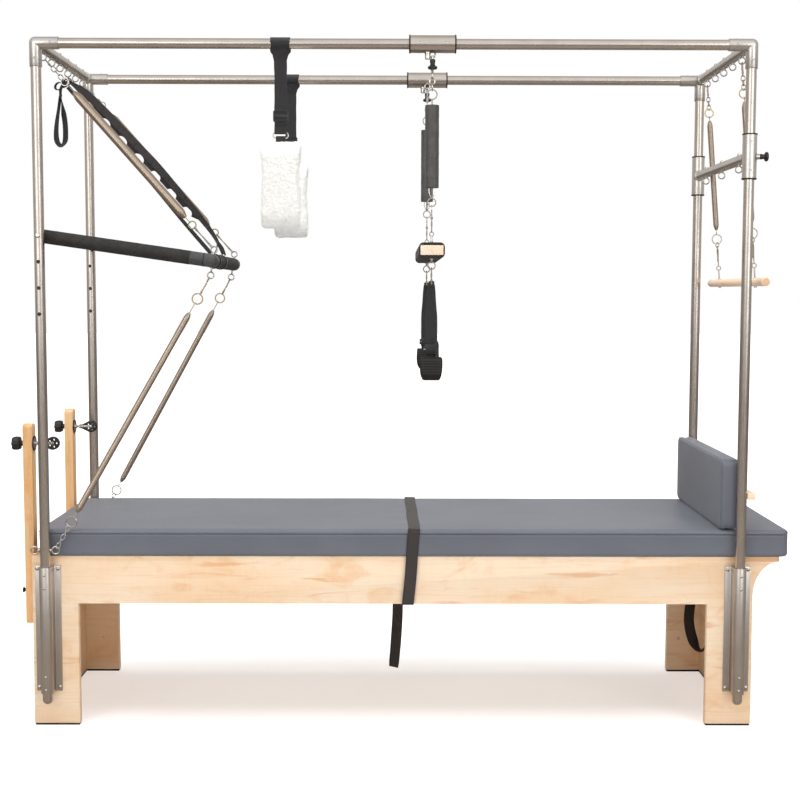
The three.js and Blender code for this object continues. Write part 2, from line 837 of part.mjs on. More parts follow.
// A sleeve with end rings that slides on a tube along an axis
function slidingSleeve(radius, half, ringRadius, middle, axis) {
  const reach = half + endRingDepth;
  const point = (distance) => middle.clone().addScaledVector(axis, distance);
  const body = [rod(radius, point(-half), point(half), tubeSides)];
  for (const [, end] of ends) {
    body.push(rod(ringRadius, point(end * (half - bite)), point(end * reach), tubeSides));
  }
  return join(body);
}

function sleeveBoreCut(half, middle, axis) {
  const reach = half + endRingDepth + overrun;
  const point = (distance) => middle.clone().addScaledVector(axis, distance);
  return rod(tubeRadius + slideGap, point(-reach), point(reach), tubeSides);
}

// Spring plunger along -Z from a sleeve's surface: pin in the neck, knob and flange below it
function plungerKnob(surface, neckReach, knobLength) {
  const knobTop = surface + neckReach + gap;
  const flangeTop = knobTop + knobLength;
  return join(
    rod(plungerPin, at(0, 0, -tubeRadius - plungerTipGap), at(0, 0, -knobTop - bite)),
    rod(neckRadius, at(0, 0, -knobTop), at(0, 0, -flangeTop - bite)),
    rod(plungerFlangeRadius, at(0, 0, -flangeTop), at(0, 0, -flangeTop - plungerFlangeDepth), tubeSides),
  );
}

function plungerNeck(surface, neckReach) {
  return rod(neckRadius, at(0, 0, neckBite - surface), at(0, 0, -surface - neckReach));
}

function plungerBore(surface, neckReach) {
  return rod(plungerPin + gap, at(0, 0, 0), at(0, 0, -surface - neckReach - overrun));
}

// Crossbar: tube between two sleeves on the right posts, three eyebolts, plunger neck on the front sleeve
function crossbar() {
  const upright = at(0, 0, 1);
  const sleeves = sides.map(([, side]) => slidingSleeve(
    crossbarSleeveRadius, crossbarSleeveHalf, endRingRadius, at(0, side * postY, 0), upright,
  ));
  const bores = sides.map(([, side]) => sleeveBoreCut(crossbarSleeveHalf, at(0, side * postY, 0), upright));
  const tube = rod(tubeRadius, at(0, -postY, 0), at(0, postY, 0), tubeSides);
  const inside = rod(tubeRadius - tubeWall, at(0, -postY, 0), at(0, postY, 0), tubeSides);
  const toSide = (body) => body.rotate([0, -90, 0]).translate([0, -postY, 0]);
  const neck = toSide(plungerNeck(crossbarSleeveRadius, crossbarNeckReach));
  const bore = toSide(plungerBore(crossbarSleeveRadius, crossbarNeckReach));
  const shell = cut(join(tube, sleeves, neck), bores, inside, bore);
  return join(shell, eyeBolts(crossbarEyeCount, crossbarEyeStep));
}

add("crossbar", crossbar(), steel, at(postX, 0, crossbarHeight));
const sideways = new THREE.Quaternion().setFromAxisAngle(upAxis, -Math.PI / 2);
add(
  "crossbar_plunger", plungerKnob(crossbarSleeveRadius, crossbarNeckReach, plungerKnobLength), blackPlastic,
  at(postX, -postY, crossbarHeight), sideways,
);

// Trapeze collar: sleeve on a top rail, plunger neck below, eye on its inner side
function collar(side) {
  const along = at(1, 0, 0);
  const eye = at(0, -side * collarEyeIn, -collarEyeDrop);
  const body = join(
    slidingSleeve(collarRadius, collarHalf, collarRingRadius, at(0, 0, 0), along),
    plungerNeck(collarRadius, collarNeckReach),
  );
  const bored = cut(
    body, sleeveBoreCut(collarHalf, at(0, 0, 0), along), plungerBore(collarRadius, collarNeckReach),
  );
  const shankStart = at(0, -side * (tubeRadius + slideGap), -tubeRadius - slideGap);
  return join(
    bored,
    rod(collarEyeWire, shankStart, at(0, eye.y, eye.z + collarEyeRing), shankSides),
    ring(collarEyeRing, collarEyeWire, eye, upAxis),
  );
}

// Hanger: snap hook, ring, rod, ring, snap hook, small ring, bolt through the seat bar, ring below
function hanger(top) {
  const middle = (height) => at(0, 0, height - top);
  const rings = [hangerTopRing, hangerMidRing, hangerSmallRing, hangerLowRing].map(
    ([height, radius]) => ring(radius, hookWire, middle(height), upAxis, roundness(radius)),
  );
  const under = ([height, radius]) => middle(height - radius);
  const over = ([height, radius]) => middle(height + radius);
  const upperHook = hook(-over(hangerTopRing).z);
  const lowerHook = hook(under(hangerMidRing).z - over(hangerSmallRing).z);
  lowerHook.translate(0, 0, under(hangerMidRing).z);
  const seatBase = seatMiddle - seatHeight / 2 - gap;
  return join(
    rings, solid(upperHook), solid(lowerHook),
    rod(hangerRod, under(hangerTopRing), over(hangerMidRing), shankSides),
    rod(hangerRod, under(hangerSmallRing), over(hangerLowRing), smallSides),
    rod(seatWasher, middle(seatBase), middle(seatBase - seatWasherDepth), rodSides),
  );
}

function paddedSleeve() {
  const height = sleeveTop - sleeveBottom;
  return cut(
    rod(sleeveRadius, at(0, 0, 0), at(0, 0, height), tubeSides),
    rod(sleeveBore, at(0, 0, -overrun), at(0, 0, height + overrun)),
  );
}

const hangerAcross = postY - collarEyeIn;

function seatBar() {
  const shape = roundedRectangle(-seatWidth / 2, -seatHeight / 2, seatWidth / 2, seatHeight / 2, seatCorner);
  const body = solid(push(shape, -seatHalfLength, seatHalfLength, "y", 2));
  const reach = seatHeight / 2 + overrun;
  const bores = sides.map(([, side]) => rod(
    hangerRod + gap, at(0, side * hangerAcross, -reach), at(0, side * hangerAcross, reach), smallSides,
  ));
  return cut(body, bores);
}

// Ankle loop: hook, webbing that widens downwards, padded cuff at the bottom
function ankleLoop() {
  const ply = (halfTop, halfBottom, inset) => outline([
    [-halfTop, -ankleWebTop - inset], [halfTop, -ankleWebTop - inset], [halfBottom, -anklePadTop],
    [halfBottom, inset - anklePadBottom], [-halfBottom, inset - anklePadBottom], [-halfBottom, -anklePadTop],
  ]);
  const shape = ply(ankleWebHalfTop, ankleWebHalfBottom, 0);
  const hole = ply(ankleWebHalfTop - webbing, ankleWebHalfBottom - webbing, webbing);
  shape.holes.push(new THREE.Path(hole.getPoints()));
  const web = push(shape, -ankleWebWidth / 2, ankleWebWidth / 2, "x");
  const place = web.attributes.position;
  for (let i = 0; i < place.count; i += 1) {
    const rise = THREE.MathUtils.clamp((place.getZ(i) + anklePadTop) / (anklePadTop - ankleWebTop), 0, 1);
    place.setX(i, place.getX(i) * THREE.MathUtils.lerp(1, ankleWebTopWidthShare, rise));
  }
  const rim = anklePadHalf + overrun - anklePadTop;
  const cuff = roundedRectangle(-anklePadHalf, -anklePadBottom, anklePadHalf, rim, anklePadHalf - bite);
  const bore = anklePadHalf - anklePadWall;
  const cuffHole = roundedRectangle(
    -bore, anklePadWall - anklePadBottom, bore, bore + overrun - anklePadTop, bore - bite,
  );
  const lid = block(
    at(-anklePadWidth, -anklePadHalf - overrun, -anklePadTop),
    at(anklePadWidth, anklePadHalf + overrun, rim + overrun),
  );
  const pad = cut(
    solid(push(cuff, -anklePadWidth / 2, anklePadWidth / 2, "x", 2)),
    solid(push(cuffHole, -anklePadWidth, anklePadWidth, "x", 2)), lid,
  );
  return join(solid(web), pad, solid(hook(ankleHookLength)));
}

const hangTop = railHeight - collarEyeDrop - ringHole(collarEyeRing, collarEyeWire) + hookSeat + swingGap;
const ankleTop = hangerLowRing[0] - ringHole(hangerLowRing[1], hookWire) + hookSeat + swingGap;

for (const [name, side] of sides) {
  add(`collar_${name}`, collar(side), steel, at(collarAlong, side * postY, railHeight));
  add(
    `collar_plunger_${name}`, plungerKnob(collarRadius, collarNeckReach, collarKnobLength), blackPlastic,
    at(collarAlong, side * postY, railHeight),
  );
  add(`hanger_${name}`, hanger(hangTop), brightSteel, at(collarAlong, side * hangerAcross, hangTop));
  add(`padded_sleeve_${name}`, paddedSleeve(), blackFoam, at(collarAlong, side * hangerAcross, sleeveBottom));
  add(`ankle_loop_${name}`, ankleLoop(), blackWebbing, at(collarAlong, side * hangerAcross, ankleTop));
}
add("seat_bar", seatBar(), seatLeather, at(collarAlong, 0, seatMiddle));

// Webbing of a fleece loop: band round the rail, gathered neck, strap, slide buckle and D-ring
const dRingTop = fleeceWebBottom - dRingWire * 2;
const dRingBottom = dRingTop + dRingHeight;

function fleeceWebbing() {
  const bore = tubeRadius + pinGap;
  const band = new THREE.Shape();
  band.absarc(0, 0, bore + railLoopWall, 0, Math.PI * 2);
  band.holes.push(circlePath(0, 0, bore));
  const neck = outline([
    [-railLoopWidth / 2, -bore - bite], [railLoopWidth / 2, -bore - bite],
    [fleeceWebWidth / 2, -fleeceNeckBottom], [-fleeceWebWidth / 2, -fleeceNeckBottom],
  ]);
  const half = fleeceWebThickness / 2;
  const eye = roundedRectangle(-dRingHalfWidth, -dRingBottom, dRingHalfWidth, -dRingTop, dRingCorner);
  const inner = dRingWire * 2;
  eye.holes.push(new THREE.Path(roundedRectangle(
    inner - dRingHalfWidth, inner - dRingBottom, dRingHalfWidth - inner, -dRingTop - inner, dRingWire,
  ).getPoints(1)));
  return join(
    solid(push(band, -railLoopWidth / 2, railLoopWidth / 2, "x", 6)),
    solid(push(neck, -half - bite, half + bite, "y")),
    block(
      at(-fleeceWebWidth / 2, -half, -fleeceWebBottom),
      at(fleeceWebWidth / 2, half, bite - fleeceNeckBottom),
    ),
    block(
      at(-fleeceBuckleHalfWidth, -fleeceBuckleDepth / 2, -fleeceBuckleBottom),
      at(fleeceBuckleHalfWidth, fleeceBuckleDepth / 2, -fleeceBuckleTop),
    ),
    solid(push(eye, -dRingWire, dRingWire, "y", 1)),
  );
}

// Fleece loop, hung from the lower wire of the D-ring: a thick soft ring whose opening faces along X
function fleeceLoop() {
  const top = -fleeceDrop;
  const bottom = top - fleeceHeight;
  const shape = roundedRectangle(-fleeceHalfDepth, bottom, fleeceHalfDepth, top, fleeceHalfDepth - bite);
  const opening = fleeceHalfDepth - fleeceWall;
  const hole = roundedRectangle(-opening, bottom + fleeceWall, opening, top - fleeceWall, opening - bite);
  shape.holes.push(new THREE.Path(hole.getPoints(2)));
  const body = new THREE.ExtrudeGeometry(shape, {
    depth: fleeceWidth * fleeceCoreShare, steps: 1, curveSegments: 2,
    bevelEnabled: true, bevelSegments: 1, bevelThickness: fleeceWidth * fleeceRimShare,
    bevelSize: fleeceWall * fleeceRoundShare, bevelOffset: -fleeceWall * fleeceRoundShare,
  });
  body.applyMatrix4(new THREE.Matrix4().makeBasis(at(0, 1, 0), at(0, 0, 1), at(1, 0, 0)));
  body.translate((-fleeceWidth * fleeceCoreShare) / 2, 0, 0);
  const place = body.attributes.position;
  for (let i = 0; i < place.count; i += 1) {
    const rise = (place.getZ(i) - bottom) / fleeceHeight;
    const waist = 1 - fleeceWaistShare * Math.sin(Math.PI * THREE.MathUtils.clamp(rise, 0, 1)) ** 2;
    place.setX(i, place.getX(i) * waist);
  }
  const tab = new THREE.Shape();
  tab.absarc(0, 0, fleeceTabBore + fleeceTabWall, 0, Math.PI * 2);
  const bore = rod(fleeceTabBore, at(-fleeceTabWidth, 0, 0), at(fleeceTabWidth, 0, 0));
  const stem = block(
    at(-fleeceTabWidth / 2, -fleeceTabWall, top - fleeceWall / 2),
    at(fleeceTabWidth / 2, fleeceTabWall, -fleeceTabBore),
  );
  const loop = solid(push(tab, -fleeceTabWidth / 2, fleeceTabWidth / 2, "x", 4));
  return join(solid(body), cut(join(loop, stem), bore));
}

sides.forEach(([name, side], index) => {
  const along = fleeceAlong[index];
  add(`fleece_webbing_${name}`, fleeceWebbing(), blackWebbing, at(along, side * postY, railHeight));
  const wire = railHeight - dRingBottom + dRingWire;
  add(`fleece_loop_${name}`, fleeceLoop(), fleece, at(along, side * postY, wire));
});

// Push-through bar: U of foam-covered tube from two pins in the left posts, four eyes at its far corners
function pushThroughBar() {
  const corners = sides.map(([, side]) => at(barLength, side * barAcross, 0));
  const foam = [
    rod(foamRadius, corners[0], corners[1], tubeSides),
    ...corners.map((corner) => rod(foamRadius, at(-barTail, corner.y, 0), corner, tubeSides)),
    ...corners.map((corner) => {
      const ball = new THREE.SphereGeometry(foamRadius, tubeSides, tubeSides / 2);
      return solid(ball.translate(corner.x, corner.y, 0));
    }),
  ];
  const outer = postY + tubeRadius + gap;
  const pins = sides.flatMap(([, side]) => [
    rod(pinRadius, at(0, side * barAcross, 0), at(0, side * (outer + bite), 0)),
    rod(pinHeadRadius, at(0, side * outer, 0), at(0, side * (outer + pinHeadDepth), 0)),
  ]);
  const eyes = sides.flatMap(([, side]) => {
    const across = side * barEyeAcross;
    return [
      ring(barEyeRing, barEyeWire, at(barLength, across, barTopEye), upAxis),
      ring(barEyeRing, barEyeWire, at(barLength, across, -barLowEye), upAxis),
      rod(eyeShank, at(barLength, across, 0), at(barLength, across, barTopEye - barEyeRing), shankSides),
      rod(eyeShank, at(barLength, across, 0), at(barLength, across, barEyeRing - barLowEye), shankSides),
    ];
  });
  return join(foam, pins, eyes);
}

const barPivot = at(-postX, 0, barPivotHeight);
const barTurn = new THREE.Quaternion().setFromAxisAngle(upAxis, barTilt);
add("push_through_bar", pushThroughBar(), blackFoam, barPivot, barTurn);

// Where an eye of the push-through bar is in the table's frame
function barEye(side, rise) {
  return at(barLength, side * barEyeAcross, rise).applyQuaternion(barTurn).add(barPivot);
}

// A spring between a fixed eye and an eye of the bar, in two pieces that stretch apart:
// hook, ring and coil from the fixed eye, ring and hook at the bar
function barSpring(name, spec, fixedEye, fixedHole, movingEye) {
  const along = movingEye.clone().sub(fixedEye).normalize();
  const start = fixedEye.clone().addScaledVector(along, fixedHole - hookSeat - swingGap);
  const length = start.distanceTo(movingEye);
  const turn = new THREE.Quaternion().setFromUnitVectors(at(0, 0, -1), along);
  const flat = at(0, 1, 0);
  const [near, far] = spec.ringShares.map((share) => share * length);
  const [coilStart, coilEnd] = spec.coilShares.map((share) => share * length);
  const wireEnd = far - spec.ring - springRingWire - swingGap * 2;
  const fixed = join(
    solid(hook(near - spec.ring)),
    ring(spec.ring, springRingWire, at(0, 0, -near), flat),
    solid(springWire(spec, [near + spec.ring, coilStart, coilEnd, wireEnd])),
  );
  const snap = hook(length - far - spec.ring);
  snap.translate(0, 0, -far - spec.ring);
  const moving = join(ring(spec.ring, springRingWire, at(0, 0, -far), flat), solid(snap));
  add(`${name[0]}_spring_${name[1]}`, fixed, brightSteel, start, turn);
  add(`${name[0]}_hook_${name[1]}`, moving, brightSteel, start, turn);
}

for (const [name, side] of sides) {
  const topEye = at(-postX, side * (leftEyeStep * (leftEyeCount - 1)) / 2, railHeight - eyeDrop);
  const topHole = ringHole(eyeRing, eyeWire);
  barSpring(["upper", name], upperSpring, topEye, topHole, barEye(side, barTopEye));
  const baseEye = at(baseEyeReach - postX, side * postY, baseEyeHeight);
  const baseHole = ringHole(baseEyeRing, baseEyeWire);
  barSpring(["lower", name], lowerSpring, baseEye, baseHole, barEye(side, -barLowEye));
}

// Roll-down bar: a dowel on two springs that hang from the right end bar and lean out over the crossbar
function rollSpringPiece() {
  const down = (distance) => at(0, 0, -distance);
  const flat = at(0, 1, 0);
  const rings = [rollTopRing, rollLowRing, rollSmallRing].map(
    ([distance, radius]) => ring(radius, springRingWire, down(distance), flat, roundness(radius)),
  );
  const topHook = hook(rollTopRing[0] - rollTopRing[1]);
  const lowHook = hook(rollSmallRing[0] - rollSmallRing[1] - rollLowRing[0] - rollLowRing[1]);
  lowHook.translate(0, 0, -rollLowRing[0] - rollLowRing[1]);
  const run = [rollTopRing[0] + rollTopRing[1], ...rollCoil, rollLowRing[0] - rollLowRing[1]];
  return join(
    rings, solid(topHook), solid(lowHook), solid(springWire(rollSpring, run)),
    rod(
      rollBoltRadius, down(rollSmallRing[0] + rollSmallRing[1]),
      down(rollDrop + rollRadius + rollBoltTail), shankSides,
    ),
  );
}

function rollBar() {
  const reach = rollRadius + overrun;
  const bores = sides.map(([, side]) => rod(
    rollBoltRadius + gap, at(0, side * rollAcross, -reach), at(0, side * rollAcross, reach), shankSides,
  ));
  return cut(rod(rollRadius, at(0, -rollHalfLength, 0), at(0, rollHalfLength, 0), tubeSides), bores);
}

const rollTurn = new THREE.Quaternion().setFromAxisAngle(upAxis, -rollLean);
const rollWay = at(0, 0, -1).applyQuaternion(rollTurn);
const rollHang = at(postX, 0, railHeight - eyeDrop);
rollHang.addScaledVector(rollWay, ringHole(eyeRing, eyeWire) - hookSeat - swingGap);
add("roll_bar", rollBar(), birch, rollHang.clone().addScaledVector(rollWay, rollDrop), rollTurn);
for (const [name, side] of sides) {
  const place = rollHang.clone().setY(side * rollAcross);
  add(`roll_spring_${name}`, rollSpringPiece(), brightSteel, place, rollTurn);
}

// Safety strap: hook in an eye of the left end bar, a broad and a narrow leg to the bar's crosspiece,
// and the loose loop of its tail
function safetyStrap(top) {
  const corner = at(barLength, 0, 0).applyQuaternion(barTurn).add(barPivot);
  const inner = foamRadius + gap;
  const outer = inner + safetyThickness;
  const bar = rod(inner, at(0, -barAcross, 0), at(0, barAcross, 0), tubeSides)
    .rotate([0, THREE.MathUtils.radToDeg(barTilt), 0]).translate(corner.toArray());
  const foot = top.clone().add(at(0, 0, -safetyHookLength));
  const pieces = [];
  for (const [across, width] of safetyLegs) {
    const wrap = new THREE.Shape();
    wrap.absarc(corner.x, corner.z, outer, 0, Math.PI * 2);
    const wrapped = solid(push(wrap, across - width / 2, across + width / 2, "y", 6));
    const end = corner.clone().setY(across);
    const way = end.clone().sub(foot).normalize();
    const length = foot.distanceTo(end) - inner + bite;
    const leg = new THREE.BoxGeometry(safetyThickness, width, length);
    leg.translate(0, 0, -length / 2);
    leg.applyQuaternion(new THREE.Quaternion().setFromUnitVectors(at(0, 0, -1), way));
    leg.translate(foot.x, foot.y, foot.z);
    pieces.push(wrapped, solid(leg));
  }
  const eyeHook = hook(safetyHookLength + hookWire);
  eyeHook.translate(top.x, top.y, top.z);
  const tail = bandOutline(tailLoopPoints, safetyThickness, 9, true);
  const link = bandOutline([[foot.x, foot.z], tailLoopTop], safetyThickness, 1);
  const near = foot.y - safetyTail / 2;
  const far = foot.y + safetyTail / 2;
  return join(
    cut(join(pieces), bar), solid(eyeHook),
    solid(push(tail, near, far, "y")), solid(push(link, near, far, "y")),
  );
}

const safetyHeight = railHeight - eyeDrop - ringHole(eyeRing, eyeWire) + hookSeat + swingGap;
const safetyHang = at(-postX, safetyEyeAcross, safetyHeight);
add("safety_strap", safetyStrap(safetyHang), blackWebbing);

// Riser: upright board outside the left end panel, slotted for its clamp and bored for its pulley's stud
function riser() {
  const radius = riserCorner;
  const height = riserTop - riserBottom;
  const half = riserThickness / 2;
  const shape = new THREE.Shape();
  shape.moveTo(-half, 0);
  shape.lineTo(half, 0);
  shape.lineTo(half, height - radius);
  shape.absarc(half - radius, height - radius, radius, 0, Math.PI / 2);
  shape.absarc(radius - half, height - radius, radius, Math.PI / 2, Math.PI);
  const board = solid(push(shape, -riserDepth / 2, riserDepth / 2, "y", 2));
  const reach = half + overrun;
  const bore = riserStud + gap;
  const clamp = clampHeight - riserBottom;
  const slotReach = clampTravel + bore + pinGap;
  const slot = roundedRectangle(-bore, clamp - slotReach, bore, clamp + slotReach, bore - weld);
  const stud = studHeight - riserBottom;
  return cut(
    board, solid(push(slot, -reach, reach, "x", 1)),
    rod(riserStud + pinGap, at(-reach, 0, stud), at(reach, 0, stud)),
  );
}

// Star knob on the stud's outer end, turned about X, its face against the riser at the origin
function starKnob() {
  const points = [];
  const count = knobLobes * 4;
  for (let i = 0; i < count; i += 1) {
    const angle = (i / count) * Math.PI * 2;
    const radius = knobRadius + knobLobe * Math.cos(angle * knobLobes);
    points.push([radius * Math.cos(angle), radius * Math.sin(angle)]);
  }
  return cut(
    join(
      solid(push(outline(points), -knobBossDepth - knobDepth, -knobBossDepth, "x")),
      rod(knobBoss, at(-knobBossDepth - bite, 0, 0), at(0, 0, 0)),
    ),
    rod(riserStud + pinGap, at(-knobBoreDepth, 0, 0), at(overrun, 0, 0)),
  );
}

// Five holes round the axle that lighten a pulley's cheek
function lightHolePaths() {
  const paths = [];
  for (let i = 0; i < lightHoleCount; i += 1) {
    const angle = (i / lightHoleCount) * Math.PI * 2;
    const [u, v] = [lightHoleRing * Math.cos(angle), lightHoleRing * Math.sin(angle)];
    const hole = circlePath(u, v, lightHoleRadius);
    paths.push(new THREE.Path(hole.getSpacedPoints(lightHoleSides)));
  }
  return paths;
}

// Pulley block about its axle: stud through the riser, washer, swivel ring, two pear-shaped cheeks, axle
function pulleyBlock(face) {
  const inner = sheaveHalf + sheaveGap;
  const outer = inner + cheekThickness;
  const cheek = new THREE.Shape();
  const lean = Math.acos((cheekRadius - pulleyTipHalf) / pulleyTip);
  cheek.absarc(0, 0, cheekRadius, lean - Math.PI, Math.PI - lean);
  cheek.absarc(-pulleyTip, 0, pulleyTipHalf, Math.PI - lean, Math.PI + lean);
  cheek.holes.push(...lightHolePaths());
  const plates = [[-outer, -inner], [inner, outer]].map(
    ([low, high]) => solid(push(cheek, low, high, "y", 3)),
  );
  const ringMiddle = face + washerDepth + swivelReach;
  return join(
    plates,
    rod(axleRadius, at(0, -outer, 0), at(0, outer, 0)),
    block(
      at(-pulleyTip - pulleyTipHalf / 2, -inner - bite, -pulleyTipHalf / 2),
      at(-pulleyTip, inner + bite, pulleyTipHalf / 2),
    ),
    ring(swivelRing, swivelWire, at(ringMiddle, 0, 0), upAxis, smallSides),
    rod(swivelWire, at(ringMiddle, 0, 0), at(-pulleyTip, 0, 0), smallSides),
    rod(swivelRod, at(face, 0, 0), at(ringMiddle - swivelRing, 0, 0)),
    rod(washerRadius, at(face, 0, 0), at(face + washerDepth, 0, 0), tubeSides),
    rod(riserStud, at(face - gap - riserThickness - knobBoreDepth + gap * 2, 0, 0), at(face + bite, 0, 0)),
  );
}

function pulleySheave() {
  const rim = sheaveRadius;
  const profile = [
    [axleRadius + sheaveGap, -sheaveHalf], [rim, -sheaveHalf], [rim - sheaveGroove, 0], [rim, sheaveHalf],
    [axleRadius + sheaveGap, sheaveHalf], [axleRadius + sheaveGap, -sheaveHalf],
  ];
  return new THREE.LatheGeometry(profile.map(([r, h]) => new THREE.Vector2(r, h)), tubeSides);
}

const riserInner = legOuter + gap;
const pulleyOut = washerDepth + swivelReach + swivelNeck + pulleyTip;
const pulleyAlong = riserInner - gap - pulleyOut;
for (const [name, side] of sides) {
  const across = side * riserAcross;
  const outerFace = -riserInner - riserThickness - gap;
  add(`riser_${name}`, riser(), birch, at(-riserInner - riserThickness / 2, across, riserBottom));
  add(`star_knob_${name}`, starKnob(), blackPlastic, at(outerFace, across, studHeight));
  add(`pulley_block_${name}`, pulleyBlock(-pulleyOut), blackPlastic, at(-pulleyAlong, across, studHeight));
  add(`pulley_sheave_${name}`, pulleySheave(), blackPlastic, at(-pulleyAlong, across, studHeight));
}

export default table;
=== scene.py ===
"""Looks of a pilates trapeze table: smooth metal, timber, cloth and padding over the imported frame."""
from math import cos, pi, radians, sin, sqrt, tau

import bmesh
import bpy
import numpy as np
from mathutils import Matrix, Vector, noise


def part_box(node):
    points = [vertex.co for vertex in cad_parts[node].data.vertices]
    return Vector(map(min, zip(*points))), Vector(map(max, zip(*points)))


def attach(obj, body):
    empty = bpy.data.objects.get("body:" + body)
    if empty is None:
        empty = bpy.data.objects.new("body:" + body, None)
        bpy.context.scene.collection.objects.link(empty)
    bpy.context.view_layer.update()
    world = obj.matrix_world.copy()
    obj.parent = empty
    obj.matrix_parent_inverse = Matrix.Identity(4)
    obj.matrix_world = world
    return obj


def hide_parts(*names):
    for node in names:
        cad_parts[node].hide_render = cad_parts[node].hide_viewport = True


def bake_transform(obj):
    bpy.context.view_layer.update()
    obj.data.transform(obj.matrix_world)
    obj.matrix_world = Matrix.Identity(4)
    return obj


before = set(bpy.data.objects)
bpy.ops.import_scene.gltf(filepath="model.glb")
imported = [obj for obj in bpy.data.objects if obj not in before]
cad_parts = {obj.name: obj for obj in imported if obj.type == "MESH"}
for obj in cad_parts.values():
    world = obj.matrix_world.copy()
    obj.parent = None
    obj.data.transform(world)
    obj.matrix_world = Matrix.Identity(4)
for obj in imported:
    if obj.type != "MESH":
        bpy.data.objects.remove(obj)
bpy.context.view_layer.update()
scene = bpy.context.scene

MM = 0.001
ROW = np.array([-14.2, 0.0, 0.0])  # the table's own middle in the frame, in millimetres
SIDES = (("front", -1), ("back", 1))
ENDS = (("left", -1), ("right", 1))
X, Y, Z = np.eye(3)

# Camera
camera_data = bpy.data.cameras.new("camera")
camera_data.lens = 60.29
camera_data.sensor_width = 36
camera = bpy.data.objects.new("camera", camera_data)
camera.location = (-0.0089, -4.5400, 1.3924)
camera.rotation_euler = (pi / 2 - 0.0807, -0.0023, -0.0035)
scene.collection.objects.link(camera)
scene.camera = camera
scene.view_settings.view_transform = "Standard"


def srgb(r, g, b):
    """A colour of the screen, 0 to 255, as the shader wants it."""
    parts = (c / 255 for c in (r, g, b))
    return tuple(c / 12.92 if c < 0.04045 else ((c + 0.055) / 1.055) ** 2.4 for c in parts) + (1.0,)


def point(x, y, z):
    return np.array([x, y, z], float)


def unit(v):
    v = np.asarray(v, float)
    return v / np.linalg.norm(v)


def tangents(path, closed=False):
    if closed:
        along = np.roll(path, -1, 0) - np.roll(path, 1, 0)
    else:
        along = np.gradient(path, axis=0)
    return along / np.linalg.norm(along, axis=1)[:, None]


def transport(along, first=None):
    """Cross directions that turn as little as they can along a path."""
    if first is None:
        first = np.eye(3)[np.argmin(np.abs(along[0]))]
    across = np.zeros_like(along)
    last = np.asarray(first, float)
    for i, t in enumerate(along):
        last = unit(last - last.dot(t) * t)
        across[i] = last
    return across, np.cross(along, across)


def smooth_path(points, steps=8, closed=False):
    """A Catmull-Rom curve through the points."""
    pts = np.asarray(points, float)
    n = len(pts)
    out = []
    for i in range(n if closed else n - 1):
        a, b, c, d = (pts[j % n] if closed else pts[min(max(j, 0), n - 1)] for j in (i - 1, i, i + 1, i + 2))
        for s in range(steps):
            t = s / steps
            out.append(0.5 * (2 * b + (c - a) * t + (2 * a - 5 * b + 4 * c - d) * t**2
                              + (3 * b - a - 3 * c + d) * t**3))
    if not closed:
        out.append(pts[-1])
    return np.array(out)


def distance_along(path):
    return np.concatenate([[0], np.cumsum(np.linalg.norm(np.diff(path, axis=0), axis=1))])


def resample(points, count):
    """The same path with this many points, an even distance apart."""
    pts = np.asarray(points, float)
    run = distance_along(pts)
    at = np.linspace(0, run[-1], count)
    return np.stack([np.interp(at, run, pts[:, k]) for k in range(3)], axis=1)


def even_path(points, spacing):
    return resample(points, max(2, int(round(distance_along(points)[-1] / spacing)) + 1))


def even_ring(points, spacing):
    return even_path(list(points) + [points[0]], spacing)[:-1]


def circle(radius, sides, u=0.0, v=0.0):
    a = np.arange(sides) * tau / sides
    return np.stack([u + radius * np.cos(a), v + radius * np.sin(a)], axis=1)


def arc(radius, start, end, count, u=0.0, v=0.0):
    """Points on part of a circle; the angles are in degrees."""
    return [(u + radius * cos(a), v + radius * sin(a)) for a in np.radians(np.linspace(start, end, count))]


def round_outline(half_u, half_v, radius, steps=6):
    """A rectangle with round corners, anticlockwise."""
    out = []
    for cu, cv, start in ((1, 1, 0), (-1, 1, 90), (-1, -1, 180), (1, -1, 270)):
        out += arc(radius, start, start + 90, steps + 1, cu * (half_u - radius), cv * (half_v - radius))
    return np.array(out)


def bell(value, width):
    return np.exp(-(value / width) ** 2)


def noise_at(*columns):
    """Smooth noise at each point whose three coordinates the columns hold."""
    return np.array([noise.noise(Vector(spot)) for spot in np.broadcast(*columns)])


